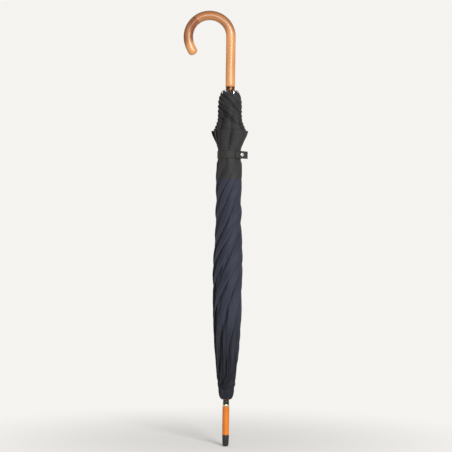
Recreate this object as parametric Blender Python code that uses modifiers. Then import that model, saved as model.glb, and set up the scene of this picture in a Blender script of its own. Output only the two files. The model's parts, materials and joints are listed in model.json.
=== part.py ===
"""A wooden stick umbrella, furled and held by its strap.

The shaft is the Z axis: the ferrule tip's flat end is the origin and the crook handle is at the top,
its nose towards -X. Eight ribs hang on a wire ring in the top notch, near the ferrule, and eight
stretchers join them to a runner that slides on the shaft. Lengths are in metres.
"""

import math

import bmesh
import bpy
from mathutils import Matrix, Vector

MM = 0.001
GAP = 0.3 * MM
MERGE = 0.00005

# The stick, from the tip up
TIP_TOP = 22.7 * MM
TIP_BORE_FLOOR = 6 * MM
FERRULE_TOP = 80.8 * MM
CAP_TOP = 94.6 * MM
COLLAR_BOTTOM = 726.5 * MM
COLLAR_TOP = 734.6 * MM
TOTAL_HEIGHT = 890 * MM
SHAFT_RADIUS = 7.0 * MM
SHAFT_TOP = 758 * MM
TENON_RADIUS = 3.5 * MM
TENON_BOTTOM = 55 * MM
FERRULE_RADIUS = 7.2 * MM
FERRULE_TENON_RADIUS = 4.5 * MM

# The crook handle
HANDLE_RADIUS = 9.75 * MM
CROOK_RADIUS = 43.6 * MM
NOSE_DROP = 30 * MM
NOSE_TUCK = 9.5 * MM
NOSE_ROUNDING = 7.5 * MM

# The folding frame. Notch and runner pivots lie on circles of one radius, and a stretcher is as
# long as the part of its rib below the rivet, so the fold's angles keep constant ratios.
RIB_COUNT = 8
FIRST_RIB_AZIMUTH = math.radians(-60)
RIB_STEP = math.tau / RIB_COUNT
PIVOT_RADIUS = 10.5 * MM
NOTCH_HEIGHT = 112 * MM
RIB_SPLAY = math.radians(0.183)
RIB_WIDTH = 3.0 * MM
RIB_INNER_FACE = 0.2 * MM
RIB_OUTER_FACE = 2.8 * MM
RIB_AXIS = (RIB_INNER_FACE + RIB_OUTER_FACE) / 2
RIB_LENGTH = 588 * MM
RIVET_DISTANCE = 270 * MM
TIP_PIN_LENGTH = 12 * MM
EYE_RADIUS = 1.5 * MM
EYE_HOLE_RADIUS = 0.85 * MM
EYE_THICKNESS = 1.2 * MM
BAR_START = 7.5 * MM
WIRE_RADIUS = 0.5 * MM
CROWN_RADIUS = 12 * MM
CROWN_HUB_RADIUS = 8.5 * MM
SLOT_WIDTH = 2.0 * MM
STRETCHER_INNER_RADIUS = 8.7 * MM
STRETCHER_OUTER_RADIUS = 10.9 * MM
FORK_WIDTH = 5.2 * MM
FORK_SLOT_WIDTH = 3.8 * MM
FORK_SLOT_END = 11 * MM
FORK_END = 15 * MM
FORK_EYE_RADIUS = 2.0 * MM
RIVET_HOLE_RADIUS = 1.1 * MM
RIVET_RADIUS = 0.8 * MM
RIVET_HEAD_RADIUS = 1.5 * MM
FLUTE_WIDTH = 1.8 * MM
CROWN_HALF_HEIGHT = 6 * MM
WIRE_CLEARANCE = 0.4 * MM
CUT_PAST = 3 * MM

# The runner and the two spring catches
RUNNER_BORE = 7.4 * MM
RUNNER_RADIUS = 8.6 * MM
RUNNER_TOP = 698 * MM
CATCH_AZIMUTH = FIRST_RIB_AZIMUTH + RIB_STEP / 2
CATCH_WIDTH = 2.6 * MM
CATCH_SLOT_WIDTH = 3.2 * MM
CATCH_SLOT_FLOOR = -2.4 * MM
CATCH_PIVOT_RADIUS = 3.6 * MM
HAND_SPRING_HEIGHT = 646 * MM
HAND_SPRING_LENGTH = 40 * MM
TOP_SPRING_HEIGHT = 334 * MM
TOP_SPRING_LENGTH = 40 * MM
NOSE_SLOPE_LENGTH = 18 * MM
PIN_RADIUS = 0.8 * MM
PIN_HALF_LENGTH = 5.8 * MM

# The canopy, furled: outer radius at each height
CANOPY_TOP_HEIGHT = 110.2 * MM
GORE_BOTTOM = 116.5 * MM
GORE_HALF_ANGLE = math.radians(21.6)
CANOPY_OUTLINE = [
    (95.4 * MM, 10.7 * MM),
    (104 * MM, 14.9 * MM),
    (116.5 * MM, 16.4 * MM),
    (149 * MM, 20.0 * MM),
    (198 * MM, 24.6 * MM),
    (258 * MM, 29.0 * MM),
    (299 * MM, 29.8 * MM),
    (360 * MM, 28.4 * MM),
    (421 * MM, 26.5 * MM),
    (483 * MM, 25.4 * MM),
    (538 * MM, 26.4 * MM),
    (570 * MM, 24.2 * MM),
    (588 * MM, 23.3 * MM),
    (603 * MM, 23.3 * MM),
    (622 * MM, 25.4 * MM),
    (644 * MM, 27.6 * MM),
    (672 * MM, 24.6 * MM),
    (700 * MM, 20.2 * MM),
    (728 * MM, 17.2 * MM),
]
GORE_BORE = [
    (725 * MM, 16.1 * MM),
    (702 * MM, 16.1 * MM),
    (690 * MM, 17.0 * MM),
    (150 * MM, 17.0 * MM),
    (130 * MM, 14.2 * MM),
]

# The tie strap
STRAP_BOTTOM = 588 * MM
STRAP_WIDTH = 15 * MM
STRAP_INNER_RADIUS = 23.7 * MM
STRAP_THICKNESS = 1.1 * MM
STRAP_END_LENGTH = 25 * MM
STRAP_UNDER_LENGTH = 20 * MM
STRAP_LAYER_GAP = 1.5 * MM
SNAP_DISTANCE = 14.5 * MM
SNAP_RADIUS = 3.7 * MM


# ---- helpers -------------------------------------------------------------------------------------


def clear_scene():
    for obj in list(bpy.data.objects):
        bpy.data.objects.remove(obj, do_unlink=True)


def new_collection(name):
    collection = bpy.data.collections.new(name)
    bpy.context.scene.collection.children.link(collection)
    return collection


def new_material(name, colour, roughness, metallic=0.0):
    material = bpy.data.materials.new(name)
    material.use_nodes = True
    shader = material.node_tree.nodes["Principled BSDF"]
    shader.inputs["Base Color"].default_value = (*colour, 1)
    shader.inputs["Roughness"].default_value = roughness
    shader.inputs["Metallic"].default_value = metallic
    return material


def part(name, mesh, material=None, parent=None, location=(0, 0, 0)):
    """A named sub-part of the umbrella."""
    obj = bpy.data.objects.new(name, mesh)
    umbrella.objects.link(obj)
    obj.location = location
    obj.parent = parent
    if material and not mesh.materials:
        mesh.materials.append(material)
    return obj


def as_cutter(obj):
    for collection in obj.users_collection:
        collection.objects.unlink(obj)
    cutters.objects.link(obj)
    obj.hide_render = True
    obj.display_type = "WIRE"
    return obj


def boolean(obj, other, operation="DIFFERENCE"):
    modifier = obj.modifiers.new(other.name, "BOOLEAN")
    modifier.operation = operation
    modifier.object = as_cutter(other)
    return obj


def baked_mesh(obj, name):
    """The object's evaluated mesh, for the copies of a repeated piece; the object is removed."""
    bpy.context.view_layer.update()
    evaluated = obj.evaluated_get(bpy.context.evaluated_depsgraph_get())
    mesh = bpy.data.meshes.new_from_object(evaluated)
    mesh.transform(obj.matrix_world)
    mesh.name = name
    operands = [m.object for m in obj.modifiers if m.type == "BOOLEAN"]
    for each in [obj, *operands]:
        bpy.data.objects.remove(each, do_unlink=True)
    return mesh


def weld(mesh):
    """Closes a curve's loose caps."""
    bm = bmesh.new()
    bm.from_mesh(mesh)
    bmesh.ops.remove_doubles(bm, verts=bm.verts, dist=MERGE)
    bmesh.ops.recalc_face_normals(bm, faces=bm.faces)
    bm.to_mesh(mesh)
    bm.free()


def box_mesh(name, low, high):
    low, high = Vector(low), Vector(high)
    bm = bmesh.new()
    bmesh.ops.create_cube(bm, size=1)
    bmesh.ops.scale(bm, vec=high - low, verts=bm.verts)
    bmesh.ops.translate(bm, vec=(low + high) / 2, verts=bm.verts)
    mesh = bpy.data.meshes.new(name)
    bm.to_mesh(mesh)
    bm.free()
    return mesh


def rod_mesh(name, start, end, radius, segments=12):
    start, end = Vector(start), Vector(end)
    along = end - start
    bm = bmesh.new()
    bmesh.ops.create_cone(
        bm, cap_ends=True, segments=segments, radius1=radius, radius2=radius, depth=along.length
    )
    turn = Vector((0, 0, 1)).rotation_difference(along).to_matrix().to_4x4()
    bmesh.ops.transform(bm, matrix=Matrix.Translation((start + end) / 2) @ turn, verts=bm.verts)
    mesh = bpy.data.meshes.new(name)
    bm.to_mesh(mesh)
    bm.free()
    return mesh


def cross_rod(name, x, z, radius, half_length, segments=12):
    """A rod along Y through (x, z), for pivots and their holes."""
    return rod_mesh(name, (x, -half_length, z), (x, half_length, z), radius, segments)


def plate_mesh(name, outline, thickness):
    """A flat plate in the XZ plane, centred on Y = 0, from its outline of (x, z) points."""
    curve = bpy.data.curves.new(name, "CURVE")
    curve.dimensions = "2D"
    curve.fill_mode = "BOTH"
    curve.extrude = thickness / 2
    spline = curve.splines.new("POLY")
    spline.points.add(len(outline) - 1)
    for point, (x, z) in zip(spline.points, outline):
        point.co = (x, z, 0, 1)
    spline.use_cyclic_u = True
    obj = bpy.data.objects.new(name, curve)
    umbrella.objects.link(obj)
    bpy.context.view_layer.update()
    evaluated = obj.evaluated_get(bpy.context.evaluated_depsgraph_get())
    mesh = bpy.data.meshes.new_from_object(evaluated)
    bpy.data.objects.remove(obj, do_unlink=True)
    mesh.transform(Matrix.Rotation(math.pi / 2, 4, "X"))
    weld(mesh)
    return mesh


def turned(name, profile, material=None, steps=24, closed=False, parent=None, location=(0, 0, 0)):
    """A solid of revolution about Z; the profile's (radius, height) points run down its outer side."""
    mesh = bpy.data.meshes.new(name)
    points = [(radius, 0, height) for radius, height in profile]
    edges = [(n, n + 1) for n in range(len(points) - 1)]
    if closed:
        edges.append((len(points) - 1, 0))
    mesh.from_pydata(points, edges, [])
    obj = part(name, mesh, material, parent, location)
    screw = obj.modifiers.new("turn", "SCREW")
    screw.steps = steps
    screw.render_steps = steps
    screw.use_merge_vertices = True
    screw.merge_threshold = MERGE
    screw.use_smooth_shade = True
    return obj


def around(azimuth, radius, height):
    return Vector((radius * math.cos(azimuth), radius * math.sin(azimuth), height))


def arc(centre, radius, start, end, steps):
    """Points (x, z) on an arc, from one angle to another in degrees."""
    points = []
    for n in range(steps + 1):
        angle = math.radians(start + (end - start) * n / steps)
        points.append((centre[0] + radius * math.cos(angle), centre[1] + radius * math.sin(angle)))
    return points


def pivot(name, azimuth, radius, height):
    """An empty on a joint's axis, with X pointing out from the shaft."""
    empty = bpy.data.objects.new(name, None)
    umbrella.objects.link(empty)
    empty.empty_display_size = 5 * MM
    empty.location = around(azimuth, radius, height)
    empty.rotation_euler = (0, 0, azimuth)
    return empty


def in_rib_frame(x, z):
    """A place on the rib, (radius, height), from its distance off and along the rib's straight line."""
    radius = PIVOT_RADIUS + x * math.cos(RIB_SPLAY) + z * math.sin(RIB_SPLAY)
    height = NOTCH_HEIGHT + z * math.cos(RIB_SPLAY) - x * math.sin(RIB_SPLAY)
    return radius, height


RIVET_REACH, RIVET_HEIGHT = in_rib_frame(RIB_AXIS, RIVET_DISTANCE)
RUNNER_PIVOT_HEIGHT = 2 * RIVET_HEIGHT - NOTCH_HEIGHT


# ---- the stick -----------------------------------------------------------------------------------


def make_tip(material):
    bore_radius = FERRULE_TENON_RADIUS + GAP
    profile = [(bore_radius, TIP_TOP), (7.0 * MM, TIP_TOP)]
    profile += [(5.9 * MM, 2 * MM), (4.6 * MM, 0.5 * MM), (3.6 * MM, 0), (0, 0)]
    bore = [(0, TIP_BORE_FLOOR), (bore_radius, TIP_BORE_FLOOR)]
    return turned("ferrule_tip", bore + profile, material)


def make_ferrule(material):
    bore = TENON_RADIUS + GAP
    shoulder = TIP_TOP + GAP
    foot = TIP_BORE_FLOOR + GAP
    profile = [(0, TENON_BOTTOM - MM), (bore, TENON_BOTTOM - MM), (bore, FERRULE_TOP)]
    profile += [(FERRULE_RADIUS - 0.4 * MM, FERRULE_TOP), (FERRULE_RADIUS, FERRULE_TOP - MM)]
    profile += [(FERRULE_RADIUS, shoulder), (FERRULE_TENON_RADIUS, shoulder)]
    profile += [(FERRULE_TENON_RADIUS, foot), (0, foot)]
    return turned("ferrule_wood", profile, material)


def make_cap(material):
    bore = TENON_RADIUS + GAP
    foot = FERRULE_TOP + GAP
    profile = [(bore, CAP_TOP), (5.2 * MM, CAP_TOP), (6.1 * MM, CAP_TOP - 1.2 * MM)]
    profile += [(6.1 * MM, foot + 4.4 * MM), (6.7 * MM, foot + 3.6 * MM)]
    profile += [(6.7 * MM, foot + 0.8 * MM), (6.2 * MM, foot), (bore, foot)]
    return turned("ferrule_cap", profile, material, closed=True)


def make_shaft(material):
    shoulder = CAP_TOP + GAP
    profile = [(0, SHAFT_TOP), (SHAFT_RADIUS, SHAFT_TOP), (SHAFT_RADIUS, shoulder)]
    profile += [(TENON_RADIUS, shoulder), (TENON_RADIUS, TENON_BOTTOM), (0, TENON_BOTTOM)]
    shaft = turned("shaft", profile, material)
    for name, height, low, high in catch_slots():
        half = CATCH_SLOT_WIDTH / 2
        slot = part(name, box_mesh(name, (CATCH_SLOT_FLOOR, -half, low), (9 * MM, half, high)))
        slot.rotation_euler = (0, 0, CATCH_AZIMUTH)
        boolean(shaft, slot)
        hole = part(name + "_pin_hole", pin_mesh(height, PIN_RADIUS + GAP, 9 * MM))
        hole.rotation_euler = (0, 0, CATCH_AZIMUTH)
        boolean(shaft, hole)
    return shaft


def catch_slots():
    """Each spring's slot in the shaft: name, pin height, lowest and highest point."""
    margin = 4 * MM
    hand = HAND_SPRING_HEIGHT
    top = TOP_SPRING_HEIGHT
    return [
        ("hand_slot", hand, hand - margin, hand + HAND_SPRING_LENGTH + 2 * margin),
        ("top_slot", top, top - TOP_SPRING_LENGTH - 2 * margin, top + margin),
    ]


def pin_mesh(height, radius, half_length):
    return cross_rod("pin", CATCH_PIVOT_RADIUS, height, radius, half_length, 10)


def make_collar(material):
    bore = SHAFT_RADIUS + GAP
    profile = [(bore, COLLAR_TOP), (9.2 * MM, COLLAR_TOP), (9.5 * MM, COLLAR_TOP - MM)]
    profile += [(9.5 * MM, COLLAR_TOP - 2 * MM), (9.1 * MM, COLLAR_TOP - 2.6 * MM)]
    profile += [(9.1 * MM, COLLAR_BOTTOM + MM), (8.7 * MM, COLLAR_BOTTOM), (bore, COLLAR_BOTTOM)]
    return turned("handle_collar", profile, material, closed=True)


def make_crook(material):
    """A bent stick: a straight shank, half a circle, a nose that tucks in and a rounded end."""
    shank_bottom = COLLAR_TOP + GAP
    arc_height = TOTAL_HEIGHT - HANDLE_RADIUS - CROOK_RADIUS
    route = [(0, shank_bottom), (0, (shank_bottom + arc_height) / 2)]
    route += arc((-CROOK_RADIUS, arc_height), CROOK_RADIUS, 0, 180, 16)
    nose_points = 4
    for n in range(1, nose_points + 1):
        share = n / nose_points
        tuck = NOSE_TUCK * share * share
        route.append((tuck - 2 * CROOK_RADIUS, arc_height - NOSE_DROP * share))
    widths = [1.0] * len(route)
    end = Vector(route[-1])
    onward = (end - Vector(route[-2])).normalized()
    for angle in (25, 50, 70, 82):
        turn = math.radians(angle)
        route.append(tuple(end + onward * NOSE_ROUNDING * math.sin(turn)))
        widths.append(math.cos(turn))
    curve = bpy.data.curves.new("crook", "CURVE")
    curve.dimensions = "3D"
    curve.bevel_depth = HANDLE_RADIUS
    curve.bevel_resolution = 3
    curve.use_fill_caps = True
    spline = curve.splines.new("POLY")
    spline.points.add(len(route) - 1)
    for point, (x, z), width in zip(spline.points, route, widths):
        point.co = (x, 0, z, 1)
        point.radius = width
    guide = bpy.data.objects.new("crook", curve)
    umbrella.objects.link(guide)
    mesh = baked_mesh(guide, "crook_handle")
    weld(mesh)
    crook = part("crook_handle", mesh, material)
    socket = (0, 0, SHAFT_TOP + MM)
    bore = rod_mesh("handle_bore", (0, 0, COLLAR_BOTTOM), socket, SHAFT_RADIUS + GAP, 24)
    return boolean(crook, part("handle_bore", bore))


# ---- the notch and the runner --------------------------------------------------------------------


def spokes(name, low, high):
    """Eight radial slots, as one cutter."""
    bm = bmesh.new()
    half = SLOT_WIDTH / 2
    outer = CROWN_RADIUS + CUT_PAST
    for n in range(RIB_COUNT):
        block = box_mesh("slot", (CROWN_HUB_RADIUS, -half, low), (outer, half, high))
        block.transform(Matrix.Rotation(FIRST_RIB_AZIMUTH + n * RIB_STEP, 4, "Z"))
        bm.from_mesh(block)
        bpy.data.meshes.remove(block)
    mesh = bpy.data.meshes.new(name)
    bm.to_mesh(mesh)
    bm.free()
    return part(name, mesh)


def cut_crown(crown, pivot_height, low, high):
    """Cuts a crown's slots and the groove that its wire ring lies in."""
    name = crown.name
    boolean(crown, spokes(name + "_slots", low, high))
    reach = WIRE_RADIUS + WIRE_CLEARANCE
    top = pivot_height + reach
    bottom = pivot_height - reach
    inner = PIVOT_RADIUS - reach
    outer = CROWN_RADIUS + CUT_PAST
    groove = [(inner, top), (outer, top), (outer, bottom), (inner, bottom)]
    return boolean(crown, turned(name + "_groove", groove, steps=32, closed=True))


def wire_ring(name, height, material, parent=None):
    mesh = bpy.data.meshes.new(name)
    bm = bmesh.new()
    ring = [
        bm.verts.new((PIVOT_RADIUS + x, 0, z))
        for x, z in arc((0, 0), WIRE_RADIUS, 0, 360 - 60, 5)
    ]
    for n, vert in enumerate(ring):
        bm.edges.new((vert, ring[n - 1]))
    bm.to_mesh(mesh)
    bm.free()
    origin = parent.location if parent else Vector()
    obj = part(name, mesh, material, parent, Vector((0, 0, height)) - origin)
    screw = obj.modifiers.new("turn", "SCREW")
    screw.steps = 32
    screw.render_steps = 32
    screw.use_merge_vertices = True
    screw.merge_threshold = MERGE
    screw.use_normal_calculate = True
    return obj


def make_notch(material):
    bore = SHAFT_RADIUS + GAP
    foot = NOTCH_HEIGHT - CROWN_HALF_HEIGHT
    top = NOTCH_HEIGHT + CROWN_HALF_HEIGHT
    profile = [(bore, top), (CROWN_RADIUS - MM, top), (CROWN_RADIUS, top - MM)]
    profile += [(CROWN_RADIUS, foot + MM), (CROWN_RADIUS - MM, foot), (bore, foot)]
    notch = turned("top_notch", profile, material, steps=32, closed=True)
    return cut_crown(notch, NOTCH_HEIGHT, NOTCH_HEIGHT - 2.4 * MM, top + MM)


def make_runner(crown_material, tube_material, wire_material):
    frame = pivot("runner_pivot", FIRST_RIB_AZIMUTH, PIVOT_RADIUS, RUNNER_PIVOT_HEIGHT)
    frame.rotation_euler = (0, 0, 0)
    back = -frame.location
    bottom = RUNNER_PIVOT_HEIGHT - CROWN_HALF_HEIGHT
    seat = RUNNER_PIVOT_HEIGHT + 3.4 * MM
    top = RUNNER_PIVOT_HEIGHT + 12 * MM
    bore = RUNNER_BORE
    socket = RUNNER_RADIUS + GAP
    profile = [(socket, top), (10.6 * MM, top), (CROWN_RADIUS, seat + 2 * MM)]
    profile += [(CROWN_RADIUS, bottom + MM), (CROWN_RADIUS - MM, bottom), (bore, bottom)]
    profile += [(bore, seat), (socket, seat)]
    crown = turned(
        "runner_crown", profile, crown_material, steps=32, closed=True, parent=frame, location=back
    )
    cut_crown(crown, RUNNER_PIVOT_HEIGHT, bottom - MM, RUNNER_PIVOT_HEIGHT + 2.4 * MM)
    flange = 10.6 * MM
    profile = [(bore, RUNNER_TOP), (flange - 0.5 * MM, RUNNER_TOP), (flange, RUNNER_TOP - MM)]
    profile += [(flange, RUNNER_TOP - 3 * MM), (RUNNER_RADIUS, RUNNER_TOP - 5 * MM)]
    profile += [(RUNNER_RADIUS, seat + GAP), (bore, seat + GAP)]
    tube = turned("runner_tube", profile, tube_material, closed=True, parent=frame, location=back)
    half = CATCH_SLOT_WIDTH / 2 + GAP
    nose_top = HAND_SPRING_HEIGHT + HAND_SPRING_LENGTH
    window = box_mesh(
        "catch_window",
        (6 * MM, -half, nose_top - NOSE_SLOPE_LENGTH),
        (11 * MM, half, nose_top + 2 * GAP),
    )
    window_box = part("catch_window", window)
    window_box.rotation_euler = (0, 0, CATCH_AZIMUTH)
    boolean(tube, window_box)
    wire_ring("runner_wire", RUNNER_PIVOT_HEIGHT, wire_material, frame)


def spring_outline(length):
    """A leaf spring's side: the pivot is at the origin, the leaf runs up and its nose points to +X."""
    eye = 1.9 * MM
    reach = 10.6 * MM - CATCH_PIVOT_RADIUS
    back = -1.3 * MM
    outline = arc((0, 0), eye, 0, -180, 6)
    outline += [(back, 8 * MM), (back, length), (reach - MM, length), (reach, length - MM)]
    outline += [(reach - 0.6 * MM, length - 2.4 * MM), (1.6 * MM, length - NOSE_SLOPE_LENGTH)]
    outline += [(1.1 * MM, 8 * MM)]
    return outline


def make_spring(name, height, length, material, upwards):
    blank = part(name + "_blank", plate_mesh(name, spring_outline(length), CATCH_WIDTH))
    boolean(blank, part(name + "_eye", cross_rod("eye", 0, 0, PIN_RADIUS + GAP, 3 * MM, 10)))
    mesh = baked_mesh(blank, name)
    if not upwards:
        mesh.transform(Matrix.Scale(-1, 4, (0, 0, 1)))
        mesh.flip_normals()
    spring = part(name, mesh, material, None, around(CATCH_AZIMUTH, CATCH_PIVOT_RADIUS, height))
    spring.rotation_euler = (0, 0, CATCH_AZIMUTH)
    return spring


def make_springs(material):
    make_spring("hand_spring", HAND_SPRING_HEIGHT, HAND_SPRING_LENGTH, material, True)
    make_spring("top_spring", TOP_SPRING_HEIGHT, TOP_SPRING_LENGTH, material, False)
    for name, height in (("hand", HAND_SPRING_HEIGHT), ("top", TOP_SPRING_HEIGHT)):
        pin = part(f"{name}_spring_pin", pin_mesh(height, PIN_RADIUS, PIN_HALF_LENGTH), material)
        pin.rotation_euler = (0, 0, CATCH_AZIMUTH)


# ---- ribs and stretchers -------------------------------------------------------------------------


def rib_mesh():
    """A fluted rib in its pivot's frame: an eye for the wire, a channel bar and a pin for the tip."""
    half = RIB_WIDTH / 2
    blade = EYE_THICKNESS / 2
    low = (RIB_INNER_FACE, -half, BAR_START)
    rib = part("rib_bar", box_mesh("rib_bar", low, (RIB_OUTER_FACE, half, RIB_LENGTH)))
    neck_low = (-0.9 * MM, -blade, 0)
    neck = box_mesh("rib_neck", neck_low, (2.2 * MM, blade, BAR_START + MM))
    boolean(rib, part("rib_neck", neck), "UNION")
    boolean(rib, part("rib_eye", cross_rod("rib_eye", 0, 0, EYE_RADIUS, blade)), "UNION")
    boolean(rib, part("rib_eye_hole", cross_rod("hole", 0, 0, EYE_HOLE_RADIUS, 2 * MM)))
    pin_start = (RIB_AXIS, 0, RIB_LENGTH - MM)
    pin_end = (RIB_AXIS, 0, RIB_LENGTH + TIP_PIN_LENGTH)
    boolean(rib, part("rib_pin", rod_mesh("rib_pin", pin_start, pin_end, MM, 10)), "UNION")
    rivet_land = 7 * MM
    for n, (start, end) in enumerate(
        [
            (BAR_START + 5 * MM, RIVET_DISTANCE - rivet_land),
            (RIVET_DISTANCE + rivet_land, RIB_LENGTH - 5 * MM),
        ]
    ):
        flute_half = FLUTE_WIDTH / 2
        flute = box_mesh("flute", (-MM, -flute_half, start), (1.8 * MM, flute_half, end))
        boolean(rib, part(f"rib_flute_{n}", flute))
    hole = cross_rod("rivet_hole", RIB_AXIS, RIVET_DISTANCE, RIVET_HOLE_RADIUS, 3 * MM)
    boolean(rib, part("rivet_hole", hole))
    mesh = baked_mesh(rib, "rib")
    mesh.transform(Matrix.Rotation(RIB_SPLAY, 4, "Y"))
    return mesh


def rivet_mesh():
    half = FORK_WIDTH / 2 + GAP
    head = RIVET_HEAD_RADIUS
    profile = [(0, half + 0.7 * MM), (head * 0.7, half + 0.6 * MM), (head, half)]
    profile += [(RIVET_RADIUS, half), (RIVET_RADIUS, -half), (head, -half)]
    profile += [(head * 0.7, -half - 0.6 * MM), (0, -half - 0.7 * MM)]
    mesh = baked_mesh(turned("rivet_turned", profile, steps=10), "rivet")
    radius, height = in_rib_frame(RIB_AXIS, RIVET_DISTANCE)
    place = Matrix.Translation((radius - PIVOT_RADIUS, 0, height - NOTCH_HEIGHT))
    mesh.transform(place @ Matrix.Rotation(math.pi / 2, 4, "X"))
    return mesh


def rib_tip_mesh():
    """A turned tip over the rib's pin, with a ball end."""
    foot = RIB_LENGTH + MM
    bore_end = RIB_LENGTH + TIP_PIN_LENGTH + MM
    profile = [(0, foot + 27 * MM), (1.3 * MM, foot + 26.4 * MM), (1.9 * MM, foot + 24.8 * MM)]
    profile += [(1.3 * MM, foot + 22.8 * MM), (1.6 * MM, foot + 20 * MM)]
    profile += [(1.9 * MM, foot + 2 * MM), (1.9 * MM, foot)]
    profile += [(1.3 * MM, foot), (1.3 * MM, bore_end), (0, bore_end)]
    mesh = baked_mesh(turned("rib_tip_turned", profile, steps=10), "rib_tip")
    mesh.transform(Matrix.Rotation(RIB_SPLAY, 4, "Y") @ Matrix.Translation((RIB_AXIS, 0, 0)))
    return mesh


def stretcher_mesh():
    """A stretcher with its origin on the rivet: a fork over the rib, a channel bar and an eye."""
    inner = STRETCHER_INNER_RADIUS - RIVET_REACH
    outer = STRETCHER_OUTER_RADIUS - RIVET_REACH
    eye_x = PIVOT_RADIUS - RIVET_REACH
    eye_z = RUNNER_PIVOT_HEIGHT - RIVET_HEIGHT
    half = RIB_WIDTH / 2
    blade = EYE_THICKNESS / 2
    outline = arc((0, 0), FORK_EYE_RADIUS, 0, -180, 6)
    outline += [(inner, FORK_SLOT_END - 2 * MM), (inner, FORK_END), (outer, FORK_END)]
    outline += [(outer, FORK_SLOT_END - 2 * MM)]
    fork = part("stretcher_fork", plate_mesh("stretcher_fork", outline, FORK_WIDTH))
    gap = FORK_SLOT_WIDTH / 2
    slot = box_mesh("fork_slot", (-8 * MM, -gap, -6 * MM), (8 * MM, gap, FORK_SLOT_END))
    boolean(fork, part("fork_slot", slot))
    bar = box_mesh("bar", (inner, -half, FORK_END - MM), (outer, half, eye_z - BAR_START - MM))
    boolean(fork, part("stretcher_bar", bar), "UNION")
    neck_low = (eye_x - 0.9 * MM, -blade, eye_z - BAR_START - 2 * MM)
    neck = box_mesh("neck", neck_low, (outer, blade, eye_z))
    boolean(fork, part("stretcher_neck", neck), "UNION")
    eye = cross_rod("eye", eye_x, eye_z, EYE_RADIUS, blade)
    boolean(fork, part("stretcher_eye", eye), "UNION")
    hole = cross_rod("hole", eye_x, eye_z, EYE_HOLE_RADIUS, 2 * MM)
    boolean(fork, part("stretcher_eye_hole", hole))
    hole = cross_rod("hole", 0, 0, RIVET_HOLE_RADIUS, 4 * MM)
    boolean(fork, part("fork_rivet_hole", hole))
    flute_half = FLUTE_WIDTH / 2
    flute_low = (inner - MM, -flute_half, FORK_END + 3 * MM)
    flute_high = (inner + 1.3 * MM, flute_half, eye_z - BAR_START - 6 * MM)
    flute = box_mesh("flute", flute_low, flute_high)
    boolean(fork, part("stretcher_flute", flute))
    return baked_mesh(fork, "stretcher")


def gore_mesh():
    """One gore of the furled canopy: an eighth of a sleeve round the frame, in its rib's frame."""
    bm = bmesh.new()
    outer = [(r, z) for z, r in CANOPY_OUTLINE if z > GORE_BOTTOM - MM]
    inner = [(r, z) for z, r in GORE_BORE]
    profile = [(14.0 * MM, GORE_BOTTOM)] + outer + [(inner[0][0], outer[-1][1])] + inner
    verts = [bm.verts.new((r, 0, z)) for r, z in profile]
    face = bm.faces.new(verts)
    bmesh.ops.rotate(bm, verts=bm.verts, matrix=Matrix.Rotation(-GORE_HALF_ANGLE, 3, "Z"))
    bmesh.ops.spin(
        bm,
        geom=[face, *face.edges, *face.verts],
        axis=(0, 0, 1),
        angle=2 * GORE_HALF_ANGLE,
        steps=4,
    )
    bmesh.ops.translate(bm, vec=(-PIVOT_RADIUS, 0, -NOTCH_HEIGHT), verts=bm.verts)
    bmesh.ops.recalc_face_normals(bm, faces=bm.faces)
    mesh = bpy.data.meshes.new("gore")
    bm.to_mesh(mesh)
    bm.free()
    return mesh


def make_folding_frame(steel, rivet_metal, tip_metal, fabric):
    rib, rivet, tip = rib_mesh(), rivet_mesh(), rib_tip_mesh()
    stretcher, gore = stretcher_mesh(), gore_mesh()
    for n in range(RIB_COUNT):
        azimuth = FIRST_RIB_AZIMUTH + n * RIB_STEP
        number = n + 1
        frame = pivot(f"rib_{number}_pivot", azimuth, PIVOT_RADIUS, NOTCH_HEIGHT)
        part(f"rib_{number}", rib, steel, frame)
        part(f"rib_rivet_{number}", rivet, rivet_metal, frame)
        part(f"rib_tip_{number}", tip, tip_metal, frame)
        part(f"gore_{number}", gore, fabric, frame)
        place = around(azimuth, RIVET_REACH, RIVET_HEIGHT)
        bar = part(f"stretcher_{number}", stretcher, steel, None, place)
        bar.rotation_euler = (0, 0, azimuth)


# ---- the canopy's crown and the tie strap --------------------------------------------------------


def make_canopy_top(material):
    """The middle of the canopy, drawn in over the notch."""
    bore = SHAFT_RADIUS + GAP
    socket = CROWN_RADIUS + GAP
    floor = NOTCH_HEIGHT - CROWN_HALF_HEIGHT - GAP
    profile = [(socket, CANOPY_TOP_HEIGHT), (15.3 * MM, CANOPY_TOP_HEIGHT), (14.9 * MM, 104 * MM)]
    profile += [(13.4 * MM, 99 * MM), (10.7 * MM, 95.4 * MM), (bore, 95.4 * MM)]
    profile += [(bore, floor), (socket, floor)]
    return turned("canopy_top", profile, material, closed=True)


def strap_frame():
    """The tie strap's frame: X points out, Y along the free ends, with the hinge line at the origin."""
    azimuth = FIRST_RIB_AZIMUTH
    outer = STRAP_INNER_RADIUS + STRAP_THICKNESS
    return pivot("strap_end_pivot", azimuth, outer + STRAP_LAYER_GAP, STRAP_BOTTOM + STRAP_WIDTH / 2)


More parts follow.
